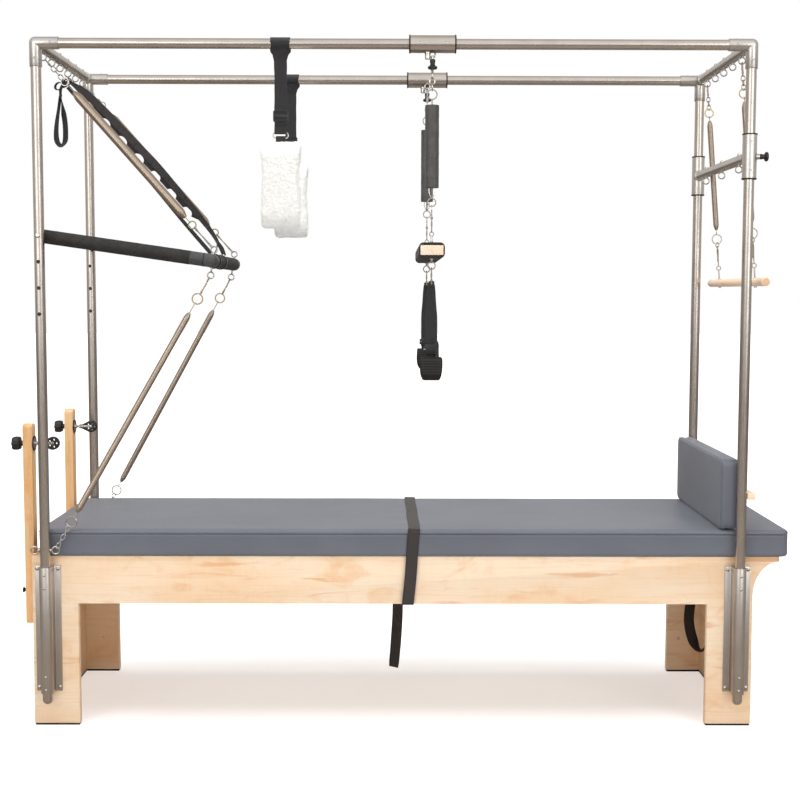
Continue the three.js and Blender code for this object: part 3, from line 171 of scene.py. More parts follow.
class Form:
    """A mesh being built, in millimetres of the table's own frame."""

    def __init__(self):
        self.points = []
        self.faces = []
        self.finish = []
        self.count = 0

    def add(self, points, faces, finish=0):
        base = self.count
        points = np.asarray(points, float).reshape(-1, 3)
        self.points.append(points)
        self.count += len(points)
        self.faces += [tuple(base + int(i) for i in face) for face in faces]
        self.finish += [finish] * len(faces)
        return self

    def loft(self, rings, finish=0, loop=False):
        """A skin over closed rings, with flat ends unless it loops back."""
        rings = np.asarray(rings, float)
        k, n = rings.shape[:2]
        faces = []
        for i in range(k if loop else k - 1):
            a, b = i * n, ((i + 1) % k) * n
            for j in range(n):
                m = (j + 1) % n
                faces.append((a + j, a + m, b + m, b + j))
        if not loop:
            faces.append(tuple(range(n - 1, -1, -1)))
            faces.append(tuple((k - 1) * n + j for j in range(n)))
        return self.add(rings, faces, finish)

    def wire(self, path, radius, sides=10, closed=False, finish=0):
        path = np.asarray(path, float)
        u, w = transport(tangents(path, closed))
        spots = circle(radius, sides)
        ring = spots[None, :, :1] * u[:, None] + spots[None, :, 1:] * w[:, None]
        return self.loft(path[:, None] + ring, finish, closed)

    def hoop(self, middle, axis, radius, wire, finish=0, around=32, sides=10, stretch=None):
        """A wire ring. stretch is (direction, share) for an oval one."""
        u, w = transport(unit(axis)[None])
        path = circle(radius, around) @ np.array([u[0], w[0]])
        if stretch is not None:
            direction, share = unit(stretch[0]), stretch[1]
            path = path + (path @ direction)[:, None] * direction * (share - 1)
        return self.wire(np.asarray(middle, float) + path, wire, sides, True, finish)

    def eye(self, middle, up, on, radius, wire, finish=0, around=29):
        """A wire ring that starts at up and runs towards on."""
        spots = circle(radius, around)
        return self.wire(middle + spots[:, :1] * up + spots[:, 1:] * on, wire, 10, True, finish)

    def ball(self, middle, radius, finish=0, around=40):
        shape = bmesh.new()
        bmesh.ops.create_uvsphere(shape, u_segments=around, v_segments=around // 2, radius=radius)
        self.add([middle + np.array(v.co) for v in shape.verts],
                 [[v.index for v in f.verts] for f in shape.faces], finish)
        shape.free()

    def turned(self, origin, axis, outline, sides=32, finish=0):
        """A shape turned round an axis: outline is (along, radius) pairs."""
        axis = unit(axis)
        u, w = transport(axis[None])
        ring = circle(1, sides) @ np.array([u[0], w[0]])
        rings = [np.asarray(origin, float) + s * axis + max(r, 0.01) * ring for s, r in outline]
        return self.loft(rings, finish)

    def rod(self, start, end, radius, sides=24, finish=0):
        """A round bar with eased ends."""
        start, end = np.asarray(start, float), np.asarray(end, float)
        length = np.linalg.norm(end - start)
        ease = min(0.6, radius / 2, length / 2)
        outline = [(0, radius - ease), (ease * 0.3, radius - ease * 0.3), (ease, radius)]
        outline += [(length - s, r) for s, r in outline[::-1]]
        return self.turned(start, end - start, outline, sides, finish)

    def pillar(self, outline, place, low, high, ease=1.0, finish=0):
        """A rounded outline pushed along an axis with eased rims. place(u, v, w) gives the point."""
        outline = np.asarray(outline, float)
        along = np.roll(outline, -1, 0) - np.roll(outline, 1, 0)
        inward = np.stack([-along[:, 1], along[:, 0]], axis=1)
        inward /= np.maximum(np.linalg.norm(inward, axis=1), 1e-9)[:, None]
        rings = []
        for w, sign in ((low, 1), (high, -1)):
            part = []
            for a in np.linspace(0, pi / 2, 4):
                shape = outline + inward * ease * (1 - sin(a))
                part.append([place(u, v, w + sign * ease * (1 - cos(a))) for u, v in shape])
            rings += part[::sign]
        return self.loft(rings, finish)

    def box(self, low, high, ease=1.0, finish=0):
        """A block with eased edges between two opposite corners."""
        low, high = np.minimum(low, high), np.maximum(low, high)
        middle, half = (low + high) / 2, (high - low) / 2
        outline = round_outline(half[0], half[1], min(ease, half[0] * 0.99, half[1] * 0.99), 3)
        return self.pillar(outline, lambda u, v, w: (middle[0] + u, middle[1] + v, w), low[2], high[2], ease, finish)

    def plate(self, outline, holes, place, thickness, ease=0.5, finish=0):
        """A flat outline with holes, centred on its own plane, with eased rims."""
        curve = bpy.data.curves.new("plate", "CURVE")
        curve.dimensions = "2D"
        curve.fill_mode = "BOTH"
        curve.extrude = (thickness / 2 - ease) * MM
        curve.bevel_depth = ease * MM
        curve.bevel_resolution = 1
        curve.offset = -ease * MM
        for loop in [outline, *holes]:
            spline = curve.splines.new("POLY")
            spline.points.add(len(loop) - 1)
            for spot, (u, v) in zip(spline.points, loop):
                spot.co = (u * MM, v * MM, 0, 1)
            spline.use_cyclic_u = True
        self.take(baked(linked("plate", curve)), place, finish)
        bpy.data.curves.remove(curve)
        return self

    def take(self, mesh, place, finish=0):
        """Adds a mesh in metres, and removes it."""
        self.add([place(*(c / MM for c in v.co)) for v in mesh.vertices], [tuple(p.vertices) for p in mesh.polygons],
                 finish)
        bpy.data.meshes.remove(mesh)

    def belt(self, path, across, width, thick, finish=0, closed=False):
        """A strap along a path. across is its width's direction, one for all or one at each point."""
        path = np.asarray(path, float)
        along = tangents(path, closed)
        across = np.broadcast_to(np.asarray(across, float), path.shape)
        side = across - (across * along).sum(1)[:, None] * along
        side /= np.linalg.norm(side, axis=1)[:, None]
        up = np.cross(along, side)
        sizes = np.broadcast_to(np.stack(np.broadcast_arrays(width, thick), -1) / 2, (len(path), 2))
        rings = []
        for i, (half, deep) in enumerate(sizes):
            edge = min(deep * 0.9, half * 0.9)
            section = round_outline(half, deep, edge, 2)
            row = np.linspace(-1, 1, 5)[1:-1] * (half - edge)
            section = np.concatenate([section[:3], [(u, deep) for u in row[::-1]], section[3:9],
                                      [(u, -deep) for u in row], section[9:]])
            rings.append(path[i] + section[:, :1] * side[i] + section[:, 1:] * up[i])
        return self.loft(rings, finish, closed)

    def carve(self, cutter):
        """This shape without the cutter's."""
        holders = []
        for form in (self, cutter):
            mesh = form.mesh("carve", np.zeros(3))
            for _ in range(3):
                mesh.materials.append(None)
            holders.append(linked("carve", mesh))
        change = holders[0].modifiers.new("carve", "BOOLEAN")
        change.operation = "DIFFERENCE"
        change.object = holders[1]
        change.solver = "EXACT"
        mesh = baked(holders[0])
        bpy.data.objects.remove(holders[1])
        out = Form()
        finish = [p.material_index for p in mesh.polygons]
        out.take(mesh, point)
        out.finish = finish
        return out

    def mesh(self, name, shift):
        """The form as a mesh in metres, with doubled corners joined and faces turned outward."""
        mesh = bpy.data.meshes.new(name)
        mesh.from_pydata(((np.concatenate(self.points) + shift) * MM).tolist(), [], self.faces)
        mesh.polygons.foreach_set("material_index", self.finish)
        shape = bmesh.new()
        shape.from_mesh(mesh)
        bmesh.ops.remove_doubles(shape, verts=shape.verts, dist=1e-6)
        bmesh.ops.recalc_face_normals(shape, faces=shape.faces)
        shape.to_mesh(mesh)
        shape.free()
        return mesh

    def chain(self, start, end, link, wire):
        """Welded links between two points, turned a quarter each."""
        along = np.asarray(end, float) - start
        count = max(1, int(round(np.linalg.norm(along) / (link * 1.25))))
        step = along / count
        turns = transport(unit(along)[None])
        radius = link / 2
        share = (np.linalg.norm(step) / 2 + wire * 1.1) / radius
        for i in range(count):
            self.hoop(start + step * (i + 0.5), turns[i % 2][0], radius, wire, 0, 20, 8, (along, share))
        return self

    def wound(self, start, end, radius, wire):
        """A close-wound spring seen from outside: a tube with helical ribs whose ends draw in."""
        taper, steps, sides = 9, 6, 26
        along = np.asarray(end, float) - start
        length = np.linalg.norm(along)
        axis = along / length
        u, w = transport(axis[None])
        total = int(round(length / (wire * 2))) * steps + 1
        s = np.linspace(0, length, total)
        near = np.minimum(s, s[::-1]) / (taper * wire * 2)
        size = radius * (0.42 + 0.58 * np.sin(np.clip(near, 0, 1) * pi / 2))
        phase = (np.arange(total)[:, None] / steps - np.arange(sides)[None, :] / sides) % 1.0
        rib = wire * (np.sqrt(1 - 0.45 * (2 * phase - 1) ** 2) - 1)
        around = circle(1, sides) @ np.array([u[0], w[0]])
        return self.loft(start + s[:, None, None] * axis + (size[:, None] + rib)[..., None] * around)

    def screw(self, spot, axis, radius, tall, finish=0):
        """A round screw head with a cross slot."""
        profile = [(-0.6, radius), (0.3, radius), (tall * .55, radius * .88), (tall * .85, radius * .6),
                   (tall, radius * .3), (tall, radius * 0.28), (tall * .35, radius * .22)]
        return self.turned(spot, axis, profile, 18, finish)

    def hex_nut(self, spot, axis, radius, tall, finish=0):
        profile = [(0, radius * .9), (tall * .14, radius), (tall * .86, radius), (tall, radius * .9)]
        return self.turned(spot, axis, profile, 6, finish)


def linked(name, data):
    obj = bpy.data.objects.new(name, data)
    scene.collection.objects.link(obj)
    return obj


def baked(obj, keep=False):
    """The object's mesh with its modifiers applied; the object goes unless it is kept."""
    bpy.context.view_layer.update()
    mesh = bpy.data.meshes.new_from_object(obj.evaluated_get(bpy.context.evaluated_depsgraph_get()))
    if not keep:
        bpy.data.objects.remove(obj)
    return mesh


def piece(name, form, stuff, body=None, replaces=(), angle=32):
    """Makes an object of the form. It rides on a body and stands for the nodes that it replaces."""
    mesh = form.mesh(name, ROW)
    for item in stuff:
        mesh.materials.append(item.material)
    mesh.shade_smooth()
    mesh.set_sharp_from_angle(angle=radians(angle))
    obj = linked(name, mesh)
    if body:
        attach(obj, body)
    if replaces:
        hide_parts(*replaces)
    return obj


def node_piece(name, form, stuff, body=None, angle=32):
    """A piece that stands for the node of its own name, on the body of that name unless another is said."""
    return piece(name, form, stuff, body or name, [name], angle)


class Tree:
    """A node tree and a short way to wire it."""

    def __init__(self, tree):
        self.tree = tree

    def node(self, kind, inputs=None, **settings):
        made = self.tree.nodes.new("ShaderNode" + kind)
        for key, value in settings.items():
            setattr(made, key, value)
        for key, value in (inputs or {}).items():
            self.put(made.inputs[key], value)
        return made

    def put(self, socket, value):
        if isinstance(value, bpy.types.NodeSocket):
            self.tree.links.new(value, socket)
        else:
            socket.default_value = value

    def span(self, fac, low, high, to_low=0.0, to_high=1.0):
        return self.node("MapRange", {"Value": fac, "From Min": low, "From Max": high, "To Min": to_low,
                                      "To Max": to_high}).outputs[0]

    def math(self, operation, a, b=0.0, c=0.0):
        return self.node("Math", {0: a, 1: b, 2: c}, operation=operation).outputs[0]

    def mix(self, fac, a, b):
        return self.node("Mix", {0: fac, 6: a, 7: b}, data_type="RGBA").outputs[2]

    def layer(self, base, fac, low, high, share, color):
        """Lays a colour over the base where fac is high."""
        return self.mix(self.math("MULTIPLY", self.span(fac, low, high), share), base, color)


class Stuff(Tree):
    """A material."""

    def __init__(self, name, color, rough=0.5, metal=0.0, **sockets):
        self.material = bpy.data.materials.new(name)
        self.material.use_nodes = True
        super().__init__(self.material.node_tree)
        self.skin = self.tree.nodes["Principled BSDF"]
        for key, value in {"Base_Color": color, "Roughness": rough, "Metallic": metal, **sockets}.items():
            self.skin.inputs[key.replace("_", " ")].default_value = value
        self.spot = self.node("TexCoord").outputs["Object"]

    def grain(self, scale, detail=4.0, rough=0.55, twist=0.0, shift=(0, 0, 0)):
        """Noise over the piece. scale is its speed, per metre, along all axes or along X, Y and Z."""
        scale = (scale,) * 3 if isinstance(scale, (int, float)) else scale
        place = self.node("Mapping", {"Vector": self.spot, "Scale": scale, "Location": shift})
        return self.node("TexNoise", {"Vector": place.outputs[0], "Scale": 1.0, "Detail": detail, "Roughness": rough,
                                      "Distortion": twist}).outputs["Fac"]

    def color(self, value):
        self.put(self.skin.inputs["Base Color"], value)

    def rough(self, fac, low, high):
        self.put(self.skin.inputs["Roughness"], self.span(fac, 0.3, 0.7, low, high))

    def bump(self, *layers):
        """layers are (height, strength, depth in metres)."""
        normal = None
        for height, strength, depth in layers:
            made = self.node("Bump", {"Height": height, "Strength": strength, "Distance": depth})
            if normal is not None:
                self.put(made.inputs["Normal"], normal)
            normal = made.outputs[0]
        self.put(self.skin.inputs["Normal"], normal)

    def ribs(self, axis, per_metre):
        """Bands square to an axis."""
        bands_per_scale = 3.1831
        return self.node("TexWave", {"Vector": self.spot, "Scale": per_metre / bands_per_scale, "Detail": 1.0},
                         wave_type="BANDS", bands_direction=axis).outputs["Fac"]


def streaks(axis, slow, fast):
    """Noise speeds for streaks along one axis."""
    return tuple(slow if k == axis else fast for k in "XYZ")


def wood(name, along, tone=(0, 0, 0), figure=1.0, shift=(0, 0, 0)):
    """Pale maple or birch with its grain along one axis."""
    def colour(*rgb):
        return srgb(*(c + t for c, t in zip(rgb, tone)))

    def figure_noise(slow, fast, detail, rough, twist, offset=0.0):
        return made.grain(streaks(along, slow, fast), detail, rough, twist, tuple(s + offset for s in shift))
    made = Stuff(name, colour(240, 200, 158), 0.42, Coat_Weight=0.25, Coat_Roughness=0.28)
    warp = figure_noise(2.2, 6.0, 2.0, 0.5, 0.6)
    lines = figure_noise(5.0, 150.0, 5.0, 0.62, 0.4)
    fine = figure_noise(26.0, 900.0, 3.0, 0.6, 0.0)
    patch = figure_noise(5.5, 9.0, 3.5, 0.58, 1.4, 3.7)
    streak = figure_noise(1.6, 11.0, 3.0, 0.55, 2.2, 8.1)
    curl = figure_noise(58.0, 9.0, 2.0, 0.5, 1.2, 1.9)
    base = made.mix(made.span(warp, 0.38, 0.62), colour(255, 230, 200), colour(252, 217, 178))
    for fac, low, high, share, rgb in (
            (patch, 0.52, 0.70, 0.75 * figure, (243, 194, 143)), (streak, 0.60, 0.68, 0.62 * figure, (234, 170, 112)),
            (lines, 0.50, 0.66, 0.30, (238, 192, 145)), (curl, 0.45, 0.62, 0.12 * figure, (255, 240, 216)),
            (fine, 0.56, 0.70, 0.18, (226, 176, 128))):
        base = made.layer(base, fac, low, high, share, colour(*rgb))
    made.color(base)
    made.rough(lines, 0.36, 0.50)
    made.bump((lines, 0.10, 0.0004), (fine, 0.12, 0.0002))
    return made


def metal(name, rgb, rough, along=None, wear=0.05, aniso=0.0):
    """Metal with fine scratches, along one axis where that is given."""
    color = srgb(*rgb)
    made = Stuff(name, color, rough, 1.0, Anisotropic=aniso)
    cloud = made.grain(14, 4.0)
    brush = made.grain(streaks(along, 18.0, 1500.0), 2.0, 0.5) if along else made.grain(420, 3.0, 0.6)
    dark = tuple(c * 0.80 for c in color[:3]) + (1.0,)
    made.color(made.layer(made.layer(color, cloud, 0.40, 0.70, 0.55, dark), brush, 0.35, 0.75, 0.22, dark))
    made.put(made.skin.inputs["Roughness"], made.math("ADD", made.span(brush, 0.3, 0.7, rough - 0.05, rough + 0.07),
                                                      made.math("MULTIPLY", cloud, wear)))
    made.bump((brush, 0.06, 0.0002))
    return made


def vinyl(name, rgb, dark_rgb, rough=0.46, gloss=0.42, sheen=0.0):
    """Grained upholstery vinyl."""
    color, dark = srgb(*rgb), srgb(*dark_rgb)
    made = Stuff(name, color, rough, Specular_IOR_Level=gloss, Sheen_Weight=sheen, Sheen_Roughness=0.4)
    cloud = made.grain((3, 3, 5), 3.0, 0.5)
    place = made.node("Mapping", {"Vector": made.spot, "Scale": (620.0,) * 3})
    pebble = made.node("TexVoronoi", {"Vector": place.outputs[0], "Scale": 1.0}).outputs["Distance"]
    fine = made.grain(1300, 2.0)
    made.color(made.layer(made.mix(made.span(cloud, 0.35, 0.68), color, dark), pebble, 0.35, 0.75, 0.16, dark))
    made.rough(pebble, rough - 0.05, rough + 0.09)
    made.bump((made.grain(7, 2.0, 0.5), 0.12, 0.004), (pebble, 0.22, 0.0005), (fine, 0.10, 0.0002))
    return made


def plastic(name, rgb, rough=0.38, grit=0.12):
    """Moulded plastic, rubber or foam skin."""
    color = srgb(*rgb)
    made = Stuff(name, color, rough, Specular_IOR_Level=0.5)
    cloud = made.grain(30, 4.0)
    lighter = tuple(min(1.0, c * 1.5 + 0.008) for c in color[:3]) + (1.0,)
    made.color(made.mix(made.span(cloud, 0.45, 0.72), color, lighter))
    made.rough(cloud, rough - 0.06, rough + 0.08)
    made.bump((made.grain(900, 2.0), grit, 0.0003))
    return made


def webbing(name, rgb, light_rgb, across, along="Z"):
    """Flat woven tape, ribbed along and across."""
    color, light = srgb(*rgb), srgb(*light_rgb)
    made = Stuff(name, color, 0.72, Sheen_Weight=0.18, Sheen_Roughness=0.45)
    weave = made.math("MULTIPLY", made.ribs(along, 620.0), made.ribs(across, 420.0))
    lint = made.grain(260, 3.0)
    made.color(made.layer(made.mix(made.span(weave, 0.15, 0.8), color, light), lint, 0.55, 0.75, 0.35, light))
    made.bump((weave, 0.55, 0.0006), (lint, 0.2, 0.0003))
    return made


maple_rail = wood("maple_rail", "X")
maple_back = wood("maple_back", "X", shift=(4.2, 1.0, 2.6))
maple_end = wood("maple_end", "Y", (-10, -14, -18), 0.7, (1.5, 3.0, 7.0))
maple_riser = wood("maple_riser", "Z", (-6, -24, -46), 0.7, (2.5, 6.0, 1.0))
maple_bar = wood("maple_bar", "Y", (-2, 2, 8), 0.3, (7.5, 2.0, 3.0))
end_grain = wood("end_grain", "X", (-26, -44, -56), 0.5, (3.5, 1.0, 8.0))
tube_x = metal("brushed_tube_x", (212, 204, 195), 0.22, "X", aniso=0.3)
tube_y = metal("brushed_tube_y", (222, 219, 214), 0.24, "Y", aniso=0.3)
tube_z = metal("brushed_tube_z", (203, 195, 187), 0.24, "Z", aniso=0.3)
alloy = metal("satin_alloy", (201, 195, 188), 0.34, "Z")
casting = metal("cast_alloy", (216, 212, 207), 0.30)
bright = metal("bright_steel", (206, 202, 196), 0.16, wear=0.1)
spring_steel = metal("spring_steel", (196, 182, 164), 0.26, wear=0.08)
wound_steel = metal("wound_steel", (190, 174, 157), 0.25)
brass = metal("brass", (205, 176, 112), 0.2, wear=0.1)
green_brass = metal("aged_brass", (160, 172, 122), 0.26, wear=0.1)
black_plastic = plastic("black_plastic", (24, 24, 25), 0.34)
elbow_rubber = plastic("elbow_rubber", (64, 64, 66), 0.5)
black_foam = plastic("black_foam", (36, 34, 33), 0.70, 0.40)
sleeve_foam = plastic("sleeve_foam", (68, 67, 66), 0.46, 0.22)
grey_vinyl = vinyl("grey_vinyl", (107, 111, 122), (98, 102, 112), 0.42, 0.75, 0.14)
grey_seam = vinyl("grey_seam", (98, 101, 110), (86, 88, 96), 0.5)
dark_vinyl = vinyl("dark_vinyl", (31, 28, 27), (23, 21, 20))
strap_z = webbing("black_webbing_z", (28, 27, 28), (52, 50, 51), "Y")
strap_x = webbing("black_webbing_x", (28, 27, 28), (52, 50, 51), "X")
strap_bed = webbing("black_webbing_bed", (48, 43, 41), (70, 63, 60), "X", "Y")
strap_band = webbing("black_webbing_band", (40, 37, 36), (60, 56, 54), "X")

fleece = Stuff("fleece", srgb(246, 244, 238), 0.95, Sheen_Weight=0.5, Sheen_Roughness=0.6)
tuft = fleece.grain((150, 150, 120), 5.0, 0.65, 0.8)
pile = fleece.grain((700, 700, 420), 4.0, 0.7)
fleece.color(fleece.mix(fleece.span(tuft, 0.34, 0.62), srgb(238, 236, 230), srgb(255, 254, 251)))
fleece.bump((tuft, 0.8, 0.003), (pile, 0.6, 0.0012))

# Floor: near the table it takes shadows, and a painted glow that grows away from the table turns it white, so near the
# table it is painted darker too; in reflections it is painted dark brown, a painted reflection that darkens the
# metal's lower edges
WHITE = (1, 1, 1, 1)
ground = Stuff("studio_floor", (0.86, 0.86, 0.865, 1), 0.9, Specular_IOR_Level=0.0)
pale = ground.mix(ground.span(ground.grain(0.6, 2.0), 0.3, 0.7), (0.86, 0.86, 0.865, 1), (0.88, 0.88, 0.885, 1))
path_kind = ground.node("LightPath").outputs
# painted reflection: reflections see the floor dark brown, which paints dark lower edges on the metal
ground.color(ground.mix(path_kind["Is Glossy Ray"], pale, (0.38, 0.33, 0.29, 1)))
flat = ground.node("Mapping", {"Vector": ground.spot, "Scale": (0.55, 1.0, 0.0)}).outputs[0]
away = ground.node("VectorMath", {0: flat}, operation="LENGTH").outputs["Value"]
# painted glow, weakest near the table: the floor there is painted darker than far away
fade = ground.span(away, 0.45, 1.9, 0.38, 1.0)
ground.put(ground.skin.inputs["Emission Color"], WHITE)
ground.put(ground.skin.inputs["Emission Strength"], ground.math("MULTIPLY", path_kind["Is Camera Ray"], fade))
form = Form()
form.add([(-30000, -12000, 0), (30000, -12000, 0), (30000, 40000, 0), (-30000, 40000, 0)], [(0, 1, 2, 3)])
piece("studio_floor", form, [ground])

# World: white to the camera, soft light for surfaces, and in reflections white only in front and above
world = bpy.data.worlds.new("studio")
scene.world = world
world.use_nodes = True
world.node_tree.nodes.clear()
sky = Tree(world.node_tree)


def glow(color, strength):
    return sky.node("Background", {"Color": color, "Strength": strength}).outputs[0]


path_kind = sky.node("LightPath").outputs
lean = sky.node("VectorMath", {0: sky.node("TexCoord").outputs["Generated"], 1: (-0.06, -0.86, 0.50)},
                operation="DOT_PRODUCT").outputs["Value"]
shine = sky.mix(sky.span(lean, 0.42, 0.84), (0.62, 0.59, 0.56, 1), WHITE)
lit = sky.node("MixShader", {0: path_kind["Is Glossy Ray"], 1: glow((1.0, 0.985, 0.97, 1), 0.42), 2: glow(shine, 1.0)})
clear = sky.math("MAXIMUM", path_kind["Is Camera Ray"], path_kind["Is Transmission Ray"])
seen = sky.node("MixShader", {0: clear, 1: lit.outputs[0], 2: glow(WHITE, 1.0)})
sky.node("OutputWorld", {0: seen.outputs[0]})


def lamp(name, spot, aim, size, power, color=(1, 1, 1)):
    data = bpy.data.lights.new(name, "AREA")
    data.shape = "RECTANGLE"
    data.size, data.size_y = size
    data.energy = power
    data.color = color
    obj = linked(name, data)
    obj.location = spot
    obj.rotation_euler = (Vector(aim) - Vector(spot)).to_track_quat("-Z", "Y").to_euler()
    return obj


overhead = lamp("overhead", (0.0, -0.6, 4.3), (0.0, 0.1, 0.6), (5.2, 3.4), 180)
overhead.visible_glossy = False
lamp("front_left", (-2.6, -4.6, 2.6), (0.0, 0.0, 0.9), (2.6, 2.6), 40, (1, 0.99, 0.97))
lamp("front_right", (3.0, -4.2, 2.2), (0.2, 0.0, 0.8), (2.0, 2.6), 38)


# The table's driving places, in millimetres
POST_X, POST_Y, RAIL, TUBE = 1100.0, 352.5, 2150.0, 16.0
PANEL_TOP, PANEL_FACE, PANEL_INNER, RAIL_BOTTOM = 551.0, 322.5, 295.5, 397.0
LEG_OUT, LEG_WIDE = 1151.0, 145.0
CORBEL, LIP, COVE = 82.0, 16.0, 113.0
BOARD, BOARD_Y, STRIP = 25.0, 295.2, 6.0
CROSSBAR_Z, COLLAR_X = 1811.0, 118.5
RISER_Y, CLAMP_Z, PULLEY_Z = 270.0, 430.0, 906.0

# Small heads, as (along, radius) pairs
BOLT_HEAD = [(-0.4, 5.6), (0.5, 5.6), (0.9, 4.8), (0.4, 3.4)]
SET_SCREW = [(0, 3.4), (1.0, 3.4), (.4, 2.0)]


def side_panel(name, side, stuff):
    leg_in, end, low, foot = LEG_OUT - LEG_WIDE, LEG_OUT + CORBEL, PANEL_TOP - LIP, STRIP + 0.3
    outline = [(-LEG_OUT, foot), (-leg_in, foot), (-leg_in, RAIL_BOTTOM), (leg_in, RAIL_BOTTOM), (leg_in, foot),
               (LEG_OUT, foot)]
    outline += [(end + CORBEL * u, low - COVE + COVE * v) for u, v in arc(1, 180, 90, 29)]
    outline += [(end, PANEL_TOP), (-LEG_OUT, PANEL_TOP)]
    middle = side * (PANEL_FACE + PANEL_INNER) / 2
    form = Form().plate(outline, [], lambda u, v, w: (u, middle + w, v), PANEL_FACE - PANEL_INNER, 1.1)
    form.box((LEG_OUT - 32, middle - 13.8, low + 0.9), (end + 0.25, middle + 13.8, PANEL_TOP - 1.2), 0.25, 1)
    for x in (-1064, 1049):
        form.turned((x, side * PANEL_INNER, 124), -side * Y, BOLT_HEAD + [(-0.6, 2.2)], 20, 2)
    for x in (-1030, 1015):
        for z in (440, 500):
            form.turned((x, side * PANEL_INNER, z), -side * Y, BOLT_HEAD, 16, 2)
    node_piece(name, form, [stuff, end_grain, bright], "base")


side_panel("side_panel_front", -1, maple_rail)
side_panel("side_panel_back", 1, maple_back)

for name, end in ENDS:
    form = Form().box((end * (LEG_OUT - BOARD), -BOARD_Y, STRIP), (end * LEG_OUT, BOARD_Y, 532.7))
    form.box((end * (LEG_OUT - 2), -300, 0), (end * (LEG_OUT - BOARD), 300, STRIP), 0.5, 1)
    for side in (-1, 1):
        form.box((end * (LEG_OUT - 2), side * (PANEL_FACE - 2), 0),
                 (end * (LEG_OUT - LEG_WIDE + 2), side * PANEL_INNER, STRIP), 0.5, 1)
        if end < 0:
            hub = point(-LEG_OUT, side * RISER_Y, CLAMP_Z)
            form.rod(hub + X * 2, hub - X * 33, 4.9, 20, 2)
            form.turned(hub - X * 30.9, -X, [(0, 7.2), (2, 7.2), (2.4, 6), (6, 5.6), (8, 7.4), (9.5, 8.7), (11.5, 8.9),
                                             (13, 7.8), (13.7, 4.5)], 32, 1)
    node_piece(f"end_panel_{name}", form, [maple_end, black_plastic, bright], "base")

form = Form().box((-LEG_OUT, -BOARD_Y, 533), (LEG_OUT + CORBEL - 2, BOARD_Y, PANEL_TOP))
node_piece("deck_board", form, [maple_back], "base")


def post(name, end, side):
    foot, top = 78.0, RAIL - 22
    axis = point(end * POST_X, side * POST_Y, 0)
    outline = [(14 * (1 - cos(a)), TUBE * sin(a)) for a in np.linspace(0.04, pi / 2, 9)]
    outline += [(top - foot - 0.6, TUBE), (top - foot, TUBE - 0.6)]
    form = Form().turned(axis + Z * foot, Z, outline, 40)
    # the holes are cut with finish 1, so their walls and floors are black plastic: painted shade inside the holes
    holes = Form()
    for i in range(4):
        if end < 0:
            for start in (-20, 11):
                holes.turned(axis + Z * (1563 - 81 * i) + Y * start, Y, [(0, 6), (9, 6)], 20, 1)
        else:
            holes.turned(axis + Z * (CROSSBAR_Z - 100 * i) + X * 11, X, [(0, 4), (9, 4)], 18, 1)
    form = form.carve(holes)
    if end < 0:
        for way in (-X, X):
            eye = axis + way * 33 + Z * 575
            form.eye(eye, Z, X, 11.5, 2.2, 2, 31)
            form.rod(eye - way * 9.6, eye - way * 20, 3.6, 16, 2)
            form.turned(eye - way * 13.4, -way, [(0, 6.2), (0.4, 6.8), (3.2, 6.8)], 22, 2)
    node_piece(name, form, [tube_z, black_plastic, bright], "base")


def bracket(name, end, side):
    x, y = end * POST_X, side * POST_Y
    outer, inner, flange = 20.3, 16.4, 40.5
    outline = [(-flange, 30), (-flange, 25), (-outer - 4, 25)] + arc(4, 90, 0, 5, -outer - 4, 21)
    outline += arc(outer, 180, 360, 25) + arc(4, 180, 90, 5, outer + 4, 21)
    outline += [(flange, 25), (flange, 30), (inner, 30), (inner, 4)] + arc(inner, 0, -180, 25)
    outline += [(-inner, 4), (-inner, 30)]
    form = Form().plate(outline, [], lambda u, v, w: (x + u, y - side * v, 317.5 + w), 407, 0.35)
    for z in (497, 455, 170, 128):
        form.screw((x, y + side * (outer - 0.4), z), side * Y, 4.4, 2.6, 1)
    for z in (511, 126):
        for u in (-33, 33):
            form.turned((x + u, y - side * 25, z), side * Y, [(-.3, 6.6), (0.7, 6.6), (1.0, 6.1)], 22, 1)
            form.screw((x + u, y - side * 24, z), side * Y, 5.0, 3.2, 1)
    node_piece(name, form, [alloy, bright], "base")


for end_name, end in ENDS:
    for side_name, side in SIDES:
        post(f"post_{side_name}_{end_name}", end, side)
        bracket(f"bracket_{side_name}_{end_name}", end, side)

for name, side in SIDES:
    reach = POST_X - 20.3
    form = Form().turned((-reach, side * POST_Y, RAIL), X, [(0, 15.6), (0.4, TUBE), (2 * reach - .4, TUBE),
                                                         (2 * reach, 15.6)], 40)
    # the holes are cut with finish 1, so their walls and floors are black plastic: painted shade inside the holes
    holes = Form()
    for i in range(8):
        holes.turned(((i - 3.5) * 237, side * POST_Y, RAIL - 20), Z, [(0, 4), (8, 4)], 16, 1)
    node_piece(f"top_rail_{name}", form.carve(holes), [tube_x, black_plastic], "base")


def eye_bolt(form, spot):
    """An eye screw through a tube, with its nut and washer on top."""
    ring, wire, drop = 10.5, 2.1, 28.0
    form.eye(spot - Z * drop, Z, X, ring, wire, 1)
    form.turned(spot - Z * (drop - ring), Z, [(-1.0, wire * 1.25), (1, 2.6), (drop - ring - 12, 2.6)], 16, 1)
    form.turned(spot - Z * (TUBE + 1.2), Z, [(0, 6.4), (0.3, 6.6), (1.9, 6.6)], 22, 1)
    form.turned(spot + Z * (TUBE - 1.0), Z, [(0, 6.2), (1.2, 6.2), (1.5, 5.9)], 22, 1)
    form.hex_nut(spot + Z * (TUBE + 0.4), Z, 5.6, 4.0, 1)
    form.rod(spot + Z * (TUBE + 4), spot + Z * (TUBE + 6.5), 2.6, 14, 1)


